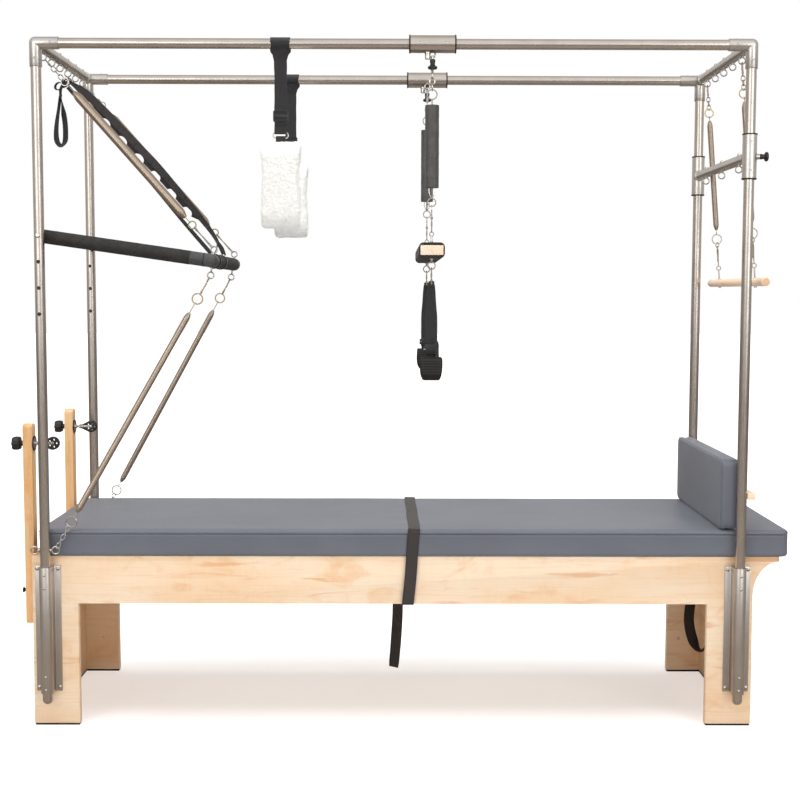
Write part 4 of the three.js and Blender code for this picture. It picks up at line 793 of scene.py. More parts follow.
def corner(form, end, side):
    """The fitting that joins a rail, a post and an end bar, with the set screws on its outer faces."""
    spot = point(end * POST_X, side * POST_Y, RAIL)
    radius = 19.0
    form.ball(spot, radius, 2)
    for way, reach, faces in ((-end * X, 72, (side * Y, Z)), (-Z, 72, (side * Y, end * X)), (-side * Y, 50, ())):
        form.turned(spot, way, [(0, radius - 0.05), (reach - 1.2, radius), (reach - 0.3, radius - 0.4),
                                (reach, radius - 1.2), (reach + 0.02, TUBE + 0.2)], 40, 2)
        form.turned(spot + way * (reach - 13), way, [(0, radius + 0.02), (0.4, radius + 0.12), (1.0, radius + 0.02)],
                    40, 2)
        for out in faces:
            form.turned(spot + way * (reach - 24) + out * (radius - 0.6), out,
                        [(0, 3.6), (1.0, 3.6), (1.2, 3.2), (0.5, 2.0), (0.4, 0.5)], 16, 1)


for (name, end), count, step in zip(ENDS, (6, 5), (107, 118)):
    form = Form().turned((end * POST_X, -POST_Y + 6, RAIL), Y, [(0, TUBE), (2 * POST_Y - 12, TUBE)], 40)
    for side in (-1, 1):
        corner(form, end, side)
    for i in range(count):
        eye_bolt(form, point(end * POST_X, (i - (count - 1) / 2) * step, RAIL))
    node_piece(f"end_bar_{name}", form, [tube_y, bright, casting], "base")


def sleeve(form, middle, axis, radius, half, ring, shade, dark):
    """A sliding sleeve with a wiper ring in each end."""
    form.turned(middle - axis * half, axis, [(0, radius - .5), (.6, radius), (2 * half - .6, radius),
                                             (2 * half, radius - .5)], 44, shade)
    for way in (-axis, axis):
        form.turned(middle + way * (half - 0.5), way,
                    [(0, ring - .8), (0.9, ring), (3.4, ring), (4.5, ring - 1.2), (4.55, TUBE + 1.4)], 44, dark)


def plunger(name, start, axis, length):
    """A spring plunger's knob: a waisted grip with a ribbed flange, on its polished stem."""
    total = length + 10
    form = Form().rod(start - axis * 12, start + axis * 2, 3.5, 18, 1)
    form.turned(start, axis, [(0, 7.4), (0.8, 8.4), (length * .35, 8.6), (length * .6, 7.4), (length * .85, 7.6),
                              (length, 9.8), (length + 1.2, 13.2), (length + 2.6, 14.3), (total - 3, 14.3),
                              (total - 1, 13.4), (total, 11.2), (total, 3)], 40)
    u, w = transport(axis[None])
    for out in circle(13.7, 14) @ np.array([u[0], w[0]]):
        form.rod(start + axis * (length + 2.4) + out, start + axis * (total - 2.6) + out, 1.0, 8)
    node_piece(name, form, [black_plastic, bright])


form = Form().turned((POST_X, -POST_Y + 16, CROSSBAR_Z), Y, [(0, TUBE), (2 * POST_Y - 32, TUBE)], 40)
for side in (1, -1):
    hub = point(POST_X, side * POST_Y, CROSSBAR_Z)
    sleeve(form, hub, Z, 22, 66.5, 23.6, 2, 3)
    form.turned(hub - Y * side * 18, -side * Y, [(0, 19.5), (9, 19.5), (10.5, 18.8), (11, 16.1)], 40, 2)
form.turned(hub + X * 18, X, [(0, 9.6), (5, 9.6), (5.6, 8.6), (12.2, 8.6), (13, 8.0)], 32, 1)
for i in range(3):
    eye_bolt(form, point(POST_X, (i - 1) * 225, CROSSBAR_Z))
for z in (44, -44):
    form.turned(hub + point(-0.5, -21.6, z), -Y, SET_SCREW, 16, 1)
node_piece("crossbar", form, [tube_y, bright, casting, black_plastic])
plunger("crossbar_plunger", hub + X * 31.3, X, 16)

for name, side in SIDES:
    middle = point(COLLAR_X, side * POST_Y, RAIL)
    form = Form()
    sleeve(form, middle, X, 26.7, 68.5, 28.3, 0, 1)
    form.turned(middle - X * 15 - Z * 22, -Z, [(0, 9.6), (8, 9.6), (8.6, 8.6), (22.6, 8.6), (23.4, 8.0)], 32, 2)
    eye = middle - Y * side * 30 - Z * 27
    form.eye(eye, Z, X, 9, 2.5, 2)
    form.rod(eye + Z * 8.6, eye + Z * 17.6 + Y * side * 8, 3.0, 14, 2)
    for x in (-40, 40):
        for out in (-Z, Y * side):
            form.turned(middle + X * x + out * 26.2, out, SET_SCREW, 16, 2)
    node_piece(f"collar_{name}", form, [tube_x, black_plastic, bright])
    low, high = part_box(f"collar_plunger_{name}")
    plunger(f"collar_plunger_{name}", point((low + high).x / 2 / MM - ROW[0], side * POST_Y, RAIL - 46), -Z, 20)


def carabiner(form, start, end, half=7.0, wire=1.9, shade=0, twist=0.0):
    """A snap hook: a long bent loop with a thicker sleeve at its foot and a sprung gate."""
    length = np.linalg.norm(end - start)
    along = (end - start) / length
    side = unit(Y - along[1] * along)
    third = np.cross(along, side)
    r = half - wire
    path = []
    for s, v in arc(r, -90, 90, 9, length - half) + arc(r * 0.8, 90, 270, 9, half):
        turn = twist * (s / length - 0.5)
        path.append(start + s * along + v * (cos(turn) * side + sin(turn) * third))
    form.wire(smooth_path(path, 4, True), wire, 10, True, shade)
    form.turned(start + along * (half * 1.6), along, [(0, wire * 1.5), (1, wire * 2.1), (half * 0.9, wire * 2.1),
                                                      (half * 1.1, wire * 1.5)], 16, shade)
    gate = start + along * (length * 0.45) + side * r
    form.turned(gate, along, [(0, wire * 1.2), (1.2, wire * 1.45), (length * 0.22, wire * 1.45),
                              (length * 0.25, wire * 1.2)], 14, shade)


# Trapeze: hangers, padded sleeves, seat bar and ankle loops
HANG_Y, ANKLE_TOP = 322.5, 1469.06
for name, side in SIDES:
    spot = lambda z, x=0.0, y=0.0: point(COLLAR_X + x, side * HANG_Y + y, z)
    form = Form()
    carabiner(form, spot(2063), spot(2120.6), 7, 2.3, 0, 1.6)
    form.chain(spot(2068), spot(2016), 16, 2.0)
    form.hoop(spot(2002), Y, 15, 1.9)
    form.rod(spot(1986.5), spot(1683), 2.6, 14)
    for way in (-1, 1):
        arch = [spot(z, way * x) for z, x in ((1735, 6), (1712, 9), (1696, 7.5), (1686, 3), (1682, 1))]
        form.wire(smooth_path(arch, 6), 1.5, 8)
    form.hoop(spot(1670), Y, 12.5, 1.9)
    form.chain(spot(1659.5), spot(1640), 11, 1.6)
    carabiner(form, spot(1637), spot(1577), 7, 1.9, 1)
    form.hoop(spot(1572), Y, 6.5, 1.6)
    form.rod(spot(1566.5), spot(1485), 2.8, 14)
    for washer, nut, way in ((1545.0, 1546.2, Z), (1495.9, 1494.6, -Z)):
        form.turned(spot(washer), way, [(0, 6.5), (1.4, 6.5), (1.6, 6)], 20)
        form.hex_nut(spot(nut), way, 5.2, 4)
    form.hoop(spot(1474), Y, 11.5, 1.9)
    node_piece(f"hanger_{name}", form, [bright, spring_steel], "trapeze")

    outline = [(0, 4.2), (0, 20.6), (0.8, 21.7)]
    outline += [(254 * i / 24, 21.7 + 0.3 * sin(i * 1.7) * sin(i * 0.61 + side)) for i in range(1, 24)]
    outline += [(253.2, 21.7), (254, 20.6), (254, 4.2), (127, 4.2)]
    pad = node_piece(f"padded_sleeve_{name}", Form().turned(spot(1715), Z, outline, 44), [sleeve_foam],
                     "trapeze", 50)

    ankle = lambda down, x=0.0, y=0.0: spot(ANKLE_TOP - down, x, y)
    form = Form()
    carabiner(form, ankle(58), ankle(0.4), 7.4, 1.9, 1)
    marks = np.linspace(0, 1, 34)
    for ply in (-1, 1):
        path = [ankle(50 + 250 * t, 1.5 * ply * sin(t * 3.0), ply * (3.2 + 25.8 * t ** 1.35)) for t in marks]
        wide = [37 * (0.50 + 0.50 * min(1, t * 1.9) ** 0.7) + 0.8 * sin(t * 19) for t in marks]
        form.belt(path, X, wide, 2.4)
    crown = [ankle(down, 0, y) for down, y in ((49.5, -3.2), (46, -2.4), (44.6, 0), (46, 2.4), (49.5, 3.2))]
    form.belt(smooth_path(crown, 4), X, 18, 2.4)
    form.box(ankle(66, -11.5, -6), ankle(56, 11.5, 6), 2.5)
    form.box(ankle(272, -20.5, -33.5), ankle(240, 20.5, -29), 1.0, 2)
    form.box(ankle(266, -25.5, -32.5), ankle(246, -16, -26.5), 1.4, 2)
    form.rod(ankle(256, -24.5, -34), ankle(256, -18, -34), 2.2, 12, 1)
    form.belt([ankle(232, 15, -31), ankle(244, 17.5, -33.5), ankle(262, 17, -34), ankle(284, 18, -35)], X, 12, 2.0)
    body = f"ankle_loop_{name}"
    piece(f"ankle_webbing_{name}", form, [strap_x, spring_steel, black_plastic], body, [body])

    path = [ankle(331 - 18 * v, 0, 32 * u) for u, v in arc(1, 180, 360, 25)]
    path = even_path([ankle(283, 0, -32), *path, ankle(283, 0, 32)], 1.5)
    run = np.linspace(0, 1, len(path))
    thick = 12.2 + 0.8 * np.cos(run * 2 * pi * 21) - 3.5 * (bell(run, 0.035) + bell(run - 1, 0.035))
    wide = 67 + 3.2 * np.sin(run * pi * 3 + 0.5) - 8 * bell(run - .5, 0.18)
    pad = piece(f"ankle_cuff_{name}", Form().belt(path, X, wide, thick), [dark_vinyl], body, (), 60)

outline = round_outline(40.5, 24.5, 15, 8)
rings = []
for y in [-378.5, -378, -376.8, *np.linspace(-366, 366, 61), 376.8, 378, 378.5]:
    near = min(1.0, (378.5 - abs(y)) / 9)
    size = 1 - 0.05 * (1 - near) ** 2
    swell = 0.006 * sin(y / 23.0) * sin(y / 61.0 + 1)
    rings.append([(COLLAR_X + u * (size + swell), y, 1520.5 + v * (size - swell)) for u, v in outline])
seat = piece("seat_bar_cover", Form().loft(rings), [dark_vinyl], "trapeze", ["seat_bar"], 50)
form = Form().box((COLLAR_X - 35.5, -380, 1505.5), (COLLAR_X + 35.5, 380, 1535.5), 1.4)
piece("seat_bar_core", form, [maple_bar], "trapeze", ())
form = Form()
for y in np.linspace(-372, 372, 41):
    for z in (1543.6, 1497.4):
        form.rod((COLLAR_X - 4, y - 3.4, z), (COLLAR_X - 4, y + 3.4, z), 0.55, 6)
piece("seat_bar_stitches", form, [strap_x], "trapeze", ())

# Fleece loops on their webbing
LOOP_TOP, LOOP_BOTTOM, LOOP_Y, WALL = 1853.0, 1586.0, 50.0, 29.0
for (name, side), x in zip(SIDES, (-349, -372)):
    hub = point(x, side * POST_Y, RAIL)
    spot = lambda z, u=0.0, y=0.0: hub + point(u, y, z)
    form = Form()
    rings = []
    for i, a in enumerate(np.linspace(-122, 302, 45)):
        t = abs(a - 90) / 212
        wide = 30 - 5 * t ** 2 + 1.2 * sin(i * 1.1)
        r = 17.7 + 0.5 * sin(i * 0.9) ** 2
        out = point(0, cos(radians(a)), sin(radians(a)))
        rings.append([hub + X * u + out * (r + v + 1.1 * sin(u * 0.55 + 1) * t ** 2
                                           + (0.35 if abs(u) < wide - 3 else 0))
                      for u, v in round_outline(wide, 1.1, 0.9, 2)])
    form.loft(rings)
    rings = []
    for t in np.linspace(0, 1, 22):
        half = 31 - 12 * (t ** 0.8) + (4.5 * sin(pi * min(1, t * 2.2)) if t < 0.45 else 0)
        deep = 9 * (1 - t) ** 1.4 + 2.6
        ring = []
        for a in np.arange(40) * tau / 40:
            fold = 1 + 0.16 * (1 - t) * sin(a * 5 + t * 4) + 0.05 * sin(a * 11 + t * 9)
            ring.append(spot(-14 - 42 * t, half * cos(a) * (1 + 0.02 * sin(a * 7 + 5 * t)), deep * sin(a) * fold))
        rings.append(ring)
    form.loft(rings)
    marks = np.linspace(0, 1, 40)
    for ply in (-1, 1):
        path = [spot(-50 - 222 * t, 0.8 * sin(t * 5 + ply), ply * (1.5 + 0.9 * sin(t * 7) ** 2)) for t in marks]
        form.belt(path, X, 38 + 0.7 * np.sin(marks * 21), 2.2)
    for thick, path in ((2.4, ((-266, -2.4), (-271.5, -2), (-273.6, 0), (-271.5, 2), (-266, 2.4))),
                        (2.2, ((-196, -3.4), (-205, -4.6), (-220, -4.8), (-236, -4.4), (-246, -3.2)))):
        form.belt(smooth_path([spot(z, 0, y) for z, y in path], 4), X, 37.5, thick)
    for y in (-5.6, 4.4):
        slots = [round_outline(19.2, 4.6, 2, 3) + (0, 9), round_outline(19.2, 4.6, 2, 3) + (0, -9)]
        form.plate(round_outline(23, 17, 4, 5), slots, lambda u, v, w: spot(-220 + v, u, y + w), 3.2, 0.7, 1)
    form.wire(even_ring([spot(-278 - v, u, 0) for u, v in round_outline(23, 8, 6.5, 6)], 2.0), 2.0, 10, True, 2)
    node_piece(f"fleece_webbing_{name}", form, [strap_x, black_plastic, bright], angle=40)

    mid_y, half_z = LOOP_Y - WALL / 2, (LOOP_TOP - LOOP_BOTTOM - WALL) / 2
    middle = point(hub[0], hub[1], (LOOP_TOP + LOOP_BOTTOM) / 2)
    path = even_ring([(0, u, v) for u, v in round_outline(mid_y, half_z, mid_y - 1, 10)], 4.0)
    rings, counts = [], []
    for p, along in zip(path, tangents(path, True)):
        out = point(0, along[2], -along[1])
        rise = (p[2] + half_z + WALL / 2) / (LOOP_TOP - LOOP_BOTTOM)
        wide = 61.5 * (1 - 0.10 * sin(pi * min(max(rise, 0), 1)) ** 2) - 1.5 * cos(rise * 9)
        section = round_outline(wide, WALL / 2 - 0.6, 13.2, 7)
        gaps = np.linalg.norm(np.roll(section, -1, 0) - section, axis=1)
        counts.append(int(np.maximum(1, np.round(gaps / 4.0)).sum()))
        rings.append([middle + p + X * u + out * v for u, v in section])
    form = Form().loft([resample(ring + [ring[0]], min(counts) + 1)[:-1] for ring in rings], loop=True)
    path = [spot(-286 + z, 0, y)
            for y, z in ((5.4, -24), (4.8, -8), (3.4, 2), (0, 5), (-3.4, 2), (-4.8, -8), (-5.4, -24))]
    piece(f"fleece_tab_{name}", Form().belt(smooth_path(path, 6), X, 30, 2.2), [strap_x], f"fleece_loop_{name}", (),
          40)
    loft = piece(f"fleece_loop_{name}", form, [fleece], angle=180)
    finer = loft.modifiers.new("finer", "SUBSURF")
    finer.levels = finer.render_levels = 1
    mesh = baked(loft, keep=True)
    loft.modifiers.clear()
    loft.data = mesh
    moves = []
    for v in mesh.vertices:
        big = noise.fractal(v.co * 34, 1.0, 2.0, 3)
        tuft_high = noise.fractal(v.co * 150, 0.9, 2.1, 3)
        moves.append(v.co + v.normal * (0.0014 * big + 0.0016 * tuft_high - 0.0002))
    for v, co in zip(mesh.vertices, moves):
        v.co = co
    mesh.shade_smooth()
    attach(loft, f"fleece_loop_{name}")
    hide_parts(f"fleece_loop_{name}")


# Push-through bar
LEAN = radians(8.1)
BAR_ON = point(cos(LEAN), 0, -sin(LEAN))
BAR_UP = point(sin(LEAN), 0, cos(LEAN))
PIVOT = point(-POST_X, 0, 1563)
REACH, ARM_Y, SPRING_Y = 531, 300, 267.5
CORNER = PIVOT + BAR_ON * REACH


def bar_spot(s, y, up=0.0):
    return PIVOT + BAR_ON * s + Y * y + BAR_UP * up


form = Form()
for side in (-1, 1):
    start = bar_spot(-22, side * ARM_Y)
    outline = [(0, 18.5), (0, 21.0), (1.2, 22)] + [(s, 22 - 0.25 * (sin(s * 0.05) ** 2)) for s in range(20, 480, 20)]
    outline += [(486, 21.9), (487.5, 20.9)]
    form.turned(start, BAR_ON, outline, 44)
outline = [(0, 19), (0, 21), (1.2, 22)] + [(s, 22 - 0.2 * (sin(s * 0.06) ** 2)) for s in range(20, 500, 20)]
form.turned(bar_spot(REACH, -256), Y, outline + [(510.8, 22), (512, 21)], 44)
pad = piece("push_bar_foam", form, [black_foam], "push_bar", ["push_through_bar"], 50)
form = Form()
for side in (-1, 1):
    spots = [bar_spot(464, side * ARM_Y), bar_spot(512, side * ARM_Y), bar_spot(528, side * 296),
             bar_spot(REACH, side * 282), bar_spot(REACH, side * 254)]
    form.wire(smooth_path(spots, 8), 21.3, 40, False, 1)
    form.turned(bar_spot(506, side * ARM_Y), BAR_ON, [(0, 21.4), (0.4, 21.9), (3.6, 21.9), (4, 21.4)], 40, 0)
    form.ball(bar_spot(REACH, side * ARM_Y), 21.8, 1, 36)
    hub = PIVOT + Y * side * ARM_Y
    form.rod(hub, hub + Y * side * 72.5, 5.6, 20, 2)
    form.turned(PIVOT + Y * side * (POST_Y + 16.2), Y * side, [(0, 8), (2.6, 8), (3.6, 6.6), (3.9, 4)], 26, 2)
    form.turned(PIVOT + Y * side * (POST_Y - 22), Y * side, [(0, 8.4), (5.4, 8.4)], 24, 2)
    form.turned(bar_spot(-22, side * ARM_Y), -BAR_ON, [(-4, 19), (0.6, 18.6), (0.8, 16)], 36, 1)
    for way, up in ((1, 36), (-1, -46)):
        eye = bar_spot(REACH, side * SPRING_Y, up)
        form.eye(eye, BAR_UP, BAR_ON, 10, 2.2, 2)
        form.rod(eye - BAR_UP * way * 9, bar_spot(REACH, side * SPRING_Y, way * 18), 2.8, 14, 2)
        form.turned(bar_spot(REACH, side * SPRING_Y, way * 21.6), BAR_UP * way, [(0, 5.2), (1.6, 5.2), (1.8, 4.6)],
                    20, 2)
piece("push_bar_fittings", form, [black_plastic, elbow_rubber, bright], "push_bar", ())

# Springs, a line each: kind, radius, wire, fixed end, height of the bar's eye, shares of the way for the two rings
# and for the coil's two ends, size of a ring and what the far ring is made of
SPRINGS = (
    ("upper", 13.9, 1.5, (-POST_X, SPRING_Y, 2122.0), 36, (0.127, 0.871), (0.180, 0.831), 12.0, green_brass),
    ("lower", 9.9, 1.2, (-1067.0, POST_Y, 575.0), -46, (0.102, 0.914), (0.138, 0.863), 16.5, brass),
)


def end_hook(form, coil, ring, way, size):
    """The bent end of a spring on its ring. way points from the ring to the coil."""
    form.wire(smooth_path([coil + way * 6, coil - way * 3, ring + way * (size + 2), ring + way * (size - 2.6) + Y * 2,
                           ring + way * (size + 1.4) + Y * 3.6], 5), 1.3, 8)


for kind, radius, wire, (x, y, z), up, rings, share, size, shine in SPRINGS:
    for name, side in SIDES:
        fixed = point(x, side * y, z)
        moving = bar_spot(REACH, side * SPRING_Y, up)
        along = moving - fixed
        way = unit(along)
        spot = lambda s: fixed + along * s
        near = Form().hoop(spot(rings[0]), Y, size, 1.9)
        if kind == "upper":
            carabiner(near, spot(0.055), spot(0) + way * 9.4, 6.5, 1.8)
            near.chain(spot(0.052), spot(rings[0]) - way * (size - 2), 13, 1.6)
        else:
            near.chain(spot(0) + way * 8.8, spot(rings[0]) - way * (size - 1.5), 12, 1.5)
        end_hook(near, spot(share[0]), spot(rings[0]), way, size)
        piece(f"{kind}_spring_link_{name}", near, [bright], f"{kind}_springs", ())
        far = Form().hoop(spot(rings[1]), Y, size, 2.0, 1)
        end_hook(far, spot(share[1]), spot(rings[1]), -way, size)
        carabiner(far, spot(rings[1]) + way * (size - 3.5), moving - way * 6.6, 5.6, 1.75, 0, 1.2)
        piece(f"{kind}_hook_{name}", far, [spring_steel, shine], f"{kind}_hooks", [f"{kind}_hook_{name}"])
        form = Form().wound(spot(share[0]), spot(share[1]), radius, wire)
        coil = piece(f"{kind}_spring_{name}", form, [wound_steel], angle=60)
        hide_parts(f"{kind}_spring_{name}")
        ends = [tuple((spot(s) + ROW) * MM) for s in share]
        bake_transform(coil)

# Roll-down bar on its two springs
DOWN = point(sin(radians(4.75)), 0, -cos(radians(4.75)))
ROLL_EYE = point(1100.3, 0, 2118.2)
for name, side in SIDES:
    hang = ROLL_EYE + Y * side * 236
    spot = lambda s, y=0.0: hang + DOWN * s + Y * y
    form = Form()
    carabiner(form, spot(47), spot(-0.5), 6.4, 1.8)
    form.chain(spot(44), spot(86), 13, 1.6)
    form.hoop(spot(98), Y, 14.5, 1.9, 1)
    form.wire(smooth_path([spot(109, 2), spot(112, -2), spot(118), spot(127), spot(134)], 5), 1.3, 8)
    form.wound(spot(124), spot(508), 9.5, 1.2)
    form.wire(smooth_path([spot(498), spot(508), spot(516), spot(525, 2.4), spot(522, 4)], 5), 1.3, 8)
    form.hoop(spot(540), Y, 16.5, 1.9, 0)
    form.chain(spot(553.5), spot(580), 11, 1.6)
    carabiner(form, spot(576), spot(637), 5.6, 1.75, 0, 0.8)
    form.hoop(spot(642), Y, 7.0, 1.9)
    form.rod(spot(649), spot(712.5), 2.4, 14)
    node_piece(f"roll_spring_{name}", form, [wound_steel, brass], "roll_down")
hub = ROLL_EYE + DOWN * 695
form = Form().turned(hub - Y * 363, Y, [(0, 10.5), (0.8, 12.2), (2.4, 13.3), (4.5, 13.6), (721.5, 13.6),
                                        (723.6, 13.3), (725.2, 12.2), (726, 10.5)], 40)
for way in (-1, 1):
    form.turned(hub + Y * way * 362.4, Y * way, [(0, 11.4), (0.7, 10.8), (0.72, 2)], 32, 2)
for side in (-1, 1):
    spot = hub + Y * side * 236
    for way in (-DOWN, DOWN):
        form.turned(spot + way * 13.0, way, [(0, 5.4), (1.4, 5.4), (1.6, 4.8)], 18, 1)
    form.hex_nut(spot + DOWN * 14, DOWN, 4.6, 3.6, 1)
node_piece("roll_bar", form, [maple_bar, bright, end_grain], "roll_down")

# Safety strap: a sewn pocket band and a narrow strand to the push-through bar, and a tail loop
HOOK_EYE = point(-POST_X, 53.5, 2122)
BAND = [(-1098.0, 53.5, 2097.8), (-1064.8, 50.0, 2072.5), (-1025.8, 47.0, 2042.1), (-960.7, 41.0, 1978.2),
        (-890.9, 31.0, 1905.0), (-785.8, 12.0, 1797.2), (-720.2, -2.0, 1724.4), (-654.2, -22.0, 1649.1),
        (-598.2, -45.0, 1577.0), (-563.0, -83.0, 1514.0)]
form = Form()
carabiner(form, HOOK_EYE - Z * 36, HOOK_EYE - Z * 8.4, 7.0, 2.1, 1)
line = even_path(smooth_path(BAND, 10), 4.0)
run = distance_along(line)
length = run[-1]
POCKET = 83.0  # from one pocket of the band to the next
along = tangents(line)
rise = np.cross(Y, along)
rise = rise * np.sign(rise[:, 2:3])


def on_band(u, v, w):
    """The point this far along the band, up its width and out from its face."""
    spot = np.array([np.interp(u, run, line[:, k]) for k in range(3)])
    up = unit([np.interp(u, run, rise[:, k]) for k in range(3)])
    turn = 0.16 * sin(u * 0.006)
    return spot + up * v * cos(turn) + Y * (w + v * sin(turn))


def grip(u):
    """How far the band is spread at this place: its ends are gathered."""
    return min(1.0, 0.32 + u / 90.0) * (1.0 if u < length * 0.8 else max(0.55, 1 - (u / length - 0.8) * 3.2))


def strip(marks, low, top, out, finish):
    form.loft([[on_band(u, v, out + w) for v, w in ((top(u), -1.2), (low(u), -1.2), (low(u), 1.2), (top(u), 1.2))]
               for u in marks], finish)


def upper_edge(u):
    return (14.8 - 6.0 * np.clip((u - 400) / 170, 0, 1)) * grip(u)


def lower_edge(u):
    return -11.5 * grip(u)


def scallop(u):
    """The lower edge of the outer layer, cut out once in each pocket."""
    beat = ((u - 107.5) / POCKET + 0.5) % 1.0 - 0.5
    cut = sqrt(max(0.0, 1 - (beat / 0.25) ** 2))
    fade = np.clip(min((u - 60) / 50, (655 - u) / 30), 0, 1)
    return -10.8 * grip(u) - 14.5 * fade * (1 - 0.94 * cut)


strip(np.linspace(0, length, 130), lower_edge, upper_edge, 0, 2)
strip(np.linspace(60, 655, 300), scallop, lambda u: -6 * grip(u), 3.0, 0)
for u in np.arange(70, length * 0.8, 8.0):
    for edge, inset in ((upper_edge, -2.4), (lower_edge, 2.9)):
        form.rod(on_band(u, edge(u) + inset, -1.35), on_band(u + 4.5, edge(u + 4.5) + inset, -1.35), 0.4, 6)
for u in np.arange(145, length * 0.84, POCKET):
    for v in (-3, 3):
        for start, end in ((2, 6), (6, 2)):
            form.rod(on_band(u + start, v - 5, -1.35), on_band(u + end, v + 5, -1.35), 0.4, 6)

thin = smooth_path([(-1100.1, 53.5, 2077.9), (-979.9, -11.9, 1947.0), (-799.8, -112.9, 1750.5),
                    (-690.6, -176.7, 1628.8), (-583.5, -240.0, 1513.0)], 16)
marks = np.linspace(0, 1, len(thin))
along = tangents(thin)
up = np.cross(Y, along)
turn = 0.9 * np.sin(marks * 3.4)
across = np.cos(turn)[:, None] * up + np.sin(turn)[:, None] * Y
form.belt(thin, across, 15 - 2 * marks, 2.6)
for y, wide in ((-85, 20), (-240, 13)):
    wrap = [CORNER + Y * y + u * BAR_UP + v * BAR_ON for u, v in circle(23.4, 39)]
    form.belt(wrap, Y, wide, 2.4, 0, True)
fork = point(-587, -55, 1560)
for x, y in ((-590, -128), (-560, -60)):
    path = smooth_path([fork, fork * 0.5 + point(x, y, 1511) * 0.5 + X * 5, point(x, y, 1511)], 8)
    form.belt(path, X + Z, 6, 2.2)

tail = [(-1126.6, 2047.9), (-1132.8, 2004.6), (-1139.5, 1961.3), (-1142.5, 1924.5), (-1139.9, 1896.5),
        (-1127.3, 1881.5), (-1113.6, 1896.6), (-1110.9, 1924.6), (-1112.4, 1961.3), (-1118.6, 2004.6),
        (-1124.2, 2044.6)]
path = smooth_path([(x, 53.5, z) for x, z in tail], 8)
marks = np.linspace(0, 1, len(path))
out = np.cross(tangents(path), Y)
turn = radians(90) * np.interp(marks, [0, 0.12, 0.38, 0.5, 0.62, 0.86, 0.95, 1],
                               [0.05, 0.08, 0.34, 0.30, 0.62, 0.60, 0.2, 0.06])
across = np.cos(turn)[:, None] * Y + np.sin(turn)[:, None] * out
form.belt(path, across, 25, 2.4)
form.belt(smooth_path([(-1125, 53.5, 2046), (-1126, 54, 2062), (-1122, 54, 2078), (-1112, 54, 2090),
                       (-1100, 53.5, 2096)], 6), Y * 0.8 + X * 0.6, 11, 3.4)
# The knot: three turns of the strap, each an oval about its own axis
for hub, axis, long, short in (((-1130, 50, 2080), (0.3, 1, 0.1), 15, 11), ((-1114, 56, 2088), (1, .5, .4), 12, 10),
                               ((-1102, 52, 2094), (-.2, 1, .3), 15, 10)):
    axis = unit(axis)
    u, w = transport(axis[None], unit((1, 0, 0.6)))
    loop = np.array(hub) + circle(1, 25) @ np.array([long * u[0], short * w[0]])
    form.belt(loop, axis, 13, 3.2, 0, True)
strap = piece("safety_strap", form, [strap_x, spring_steel, strap_band], angle=40)
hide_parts("safety_strap")
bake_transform(strap)


def cushion(low, high, edge, cell, rows=()):
    """A rounded block on a fine grid. rows adds levels of Z that a seam needs."""
    bends = edge * (1 - np.tan(np.linspace(pi / 4, 0, 6)))
    lines = []
    for k in range(3):
        count = max(2, int(round((high[k] - low[k] - 2 * edge) / cell[k])))
        inside = np.linspace(low[k] + edge, high[k] - edge, count + 1)[1:-1]
        extra = [r for r in rows if low[k] + edge < r < high[k] - edge] if k == 2 else []
        inside = np.array([v for v in inside if all(abs(v - r) > 1.5 for r in extra)] + list(extra))
        lines.append(np.sort(np.concatenate([low[k] + bends, inside, high[k] - bends])))
    form = Form()
    for k in range(3):
        i, j = [n for n in range(3) if n != k]
        for end in (low[k], high[k]):
            u, v = np.meshgrid(lines[i], lines[j], indexing="ij")
            spots = np.zeros(u.shape + (3,))
            spots[..., i], spots[..., j], spots[..., k] = u, v, end
            inner = np.clip(spots, low + edge, high - edge)
            out = spots - inner
            out *= edge / np.maximum(np.linalg.norm(out, axis=-1), 1e-9)[..., None]
            index = np.arange(u.size).reshape(u.shape)
            quads = np.stack([index[:-1, :-1], index[1:, :-1], index[1:, 1:], index[:-1, 1:]], -1).reshape(-1, 4)
            form.add((inner + out).reshape(-1, 3), quads)
    return form


def round_corners(spots, middle, half, axes, radius):
    """Rounds the four upright corners of a block, seen along the axis left out."""
    i, j = axes
    u, v = spots[:, i] - middle[i], spots[:, j] - middle[j]
    du = np.abs(u) - (half[i] - radius)
    dv = np.abs(v) - (half[j] - radius)
    far = np.hypot(np.maximum(du, 0), np.maximum(dv, 0))
    reach = np.maximum(du, dv)
    share = np.where((du > 0) & (dv > 0), reach / np.maximum(far, 1e-9), 1.0)
    spots[:, i] = middle[i] + np.sign(u) * (np.abs(u) + np.where(du > 0, du * (share - 1), 0))
    spots[:, j] = middle[j] + np.sign(v) * (np.abs(v) + np.where(dv > 0, dv * (share - 1), 0))


# Mattress: boxed vinyl cushion with a welted seam just under its top edge
BED_LOW, BED_HIGH = np.array([-1130, -330, 551.3]), np.array([1262, 330, 637.3])
BED_MIDDLE, BED_HALF, BED_EDGE = (BED_LOW + BED_HIGH) / 2, (BED_HIGH - BED_LOW) / 2, 11
SEAM = 622.6


def strap_x_at(y, z):
    """Where the strap round the mattress runs: it leans a little."""
    across = (y + 330.6) / 661.2
    top, bottom = 67 - 8 * across, 48 - 30 * across
    return bottom + (top - bottom) * (z - 396.4) / 245


def bed_top(x, y):
    """The height of the mattress's crowned face."""
    rise = (1 - ((x - BED_MIDDLE[0]) / BED_HALF[0]) ** 4) * (1 - ((y - BED_MIDDLE[1]) / BED_HALF[1]) ** 4)
    return BED_HIGH[2] + 3.4 * np.sqrt(np.clip(rise, 0, 1)) - 1.3 * bell(x - strap_x_at(y, 637), 24)


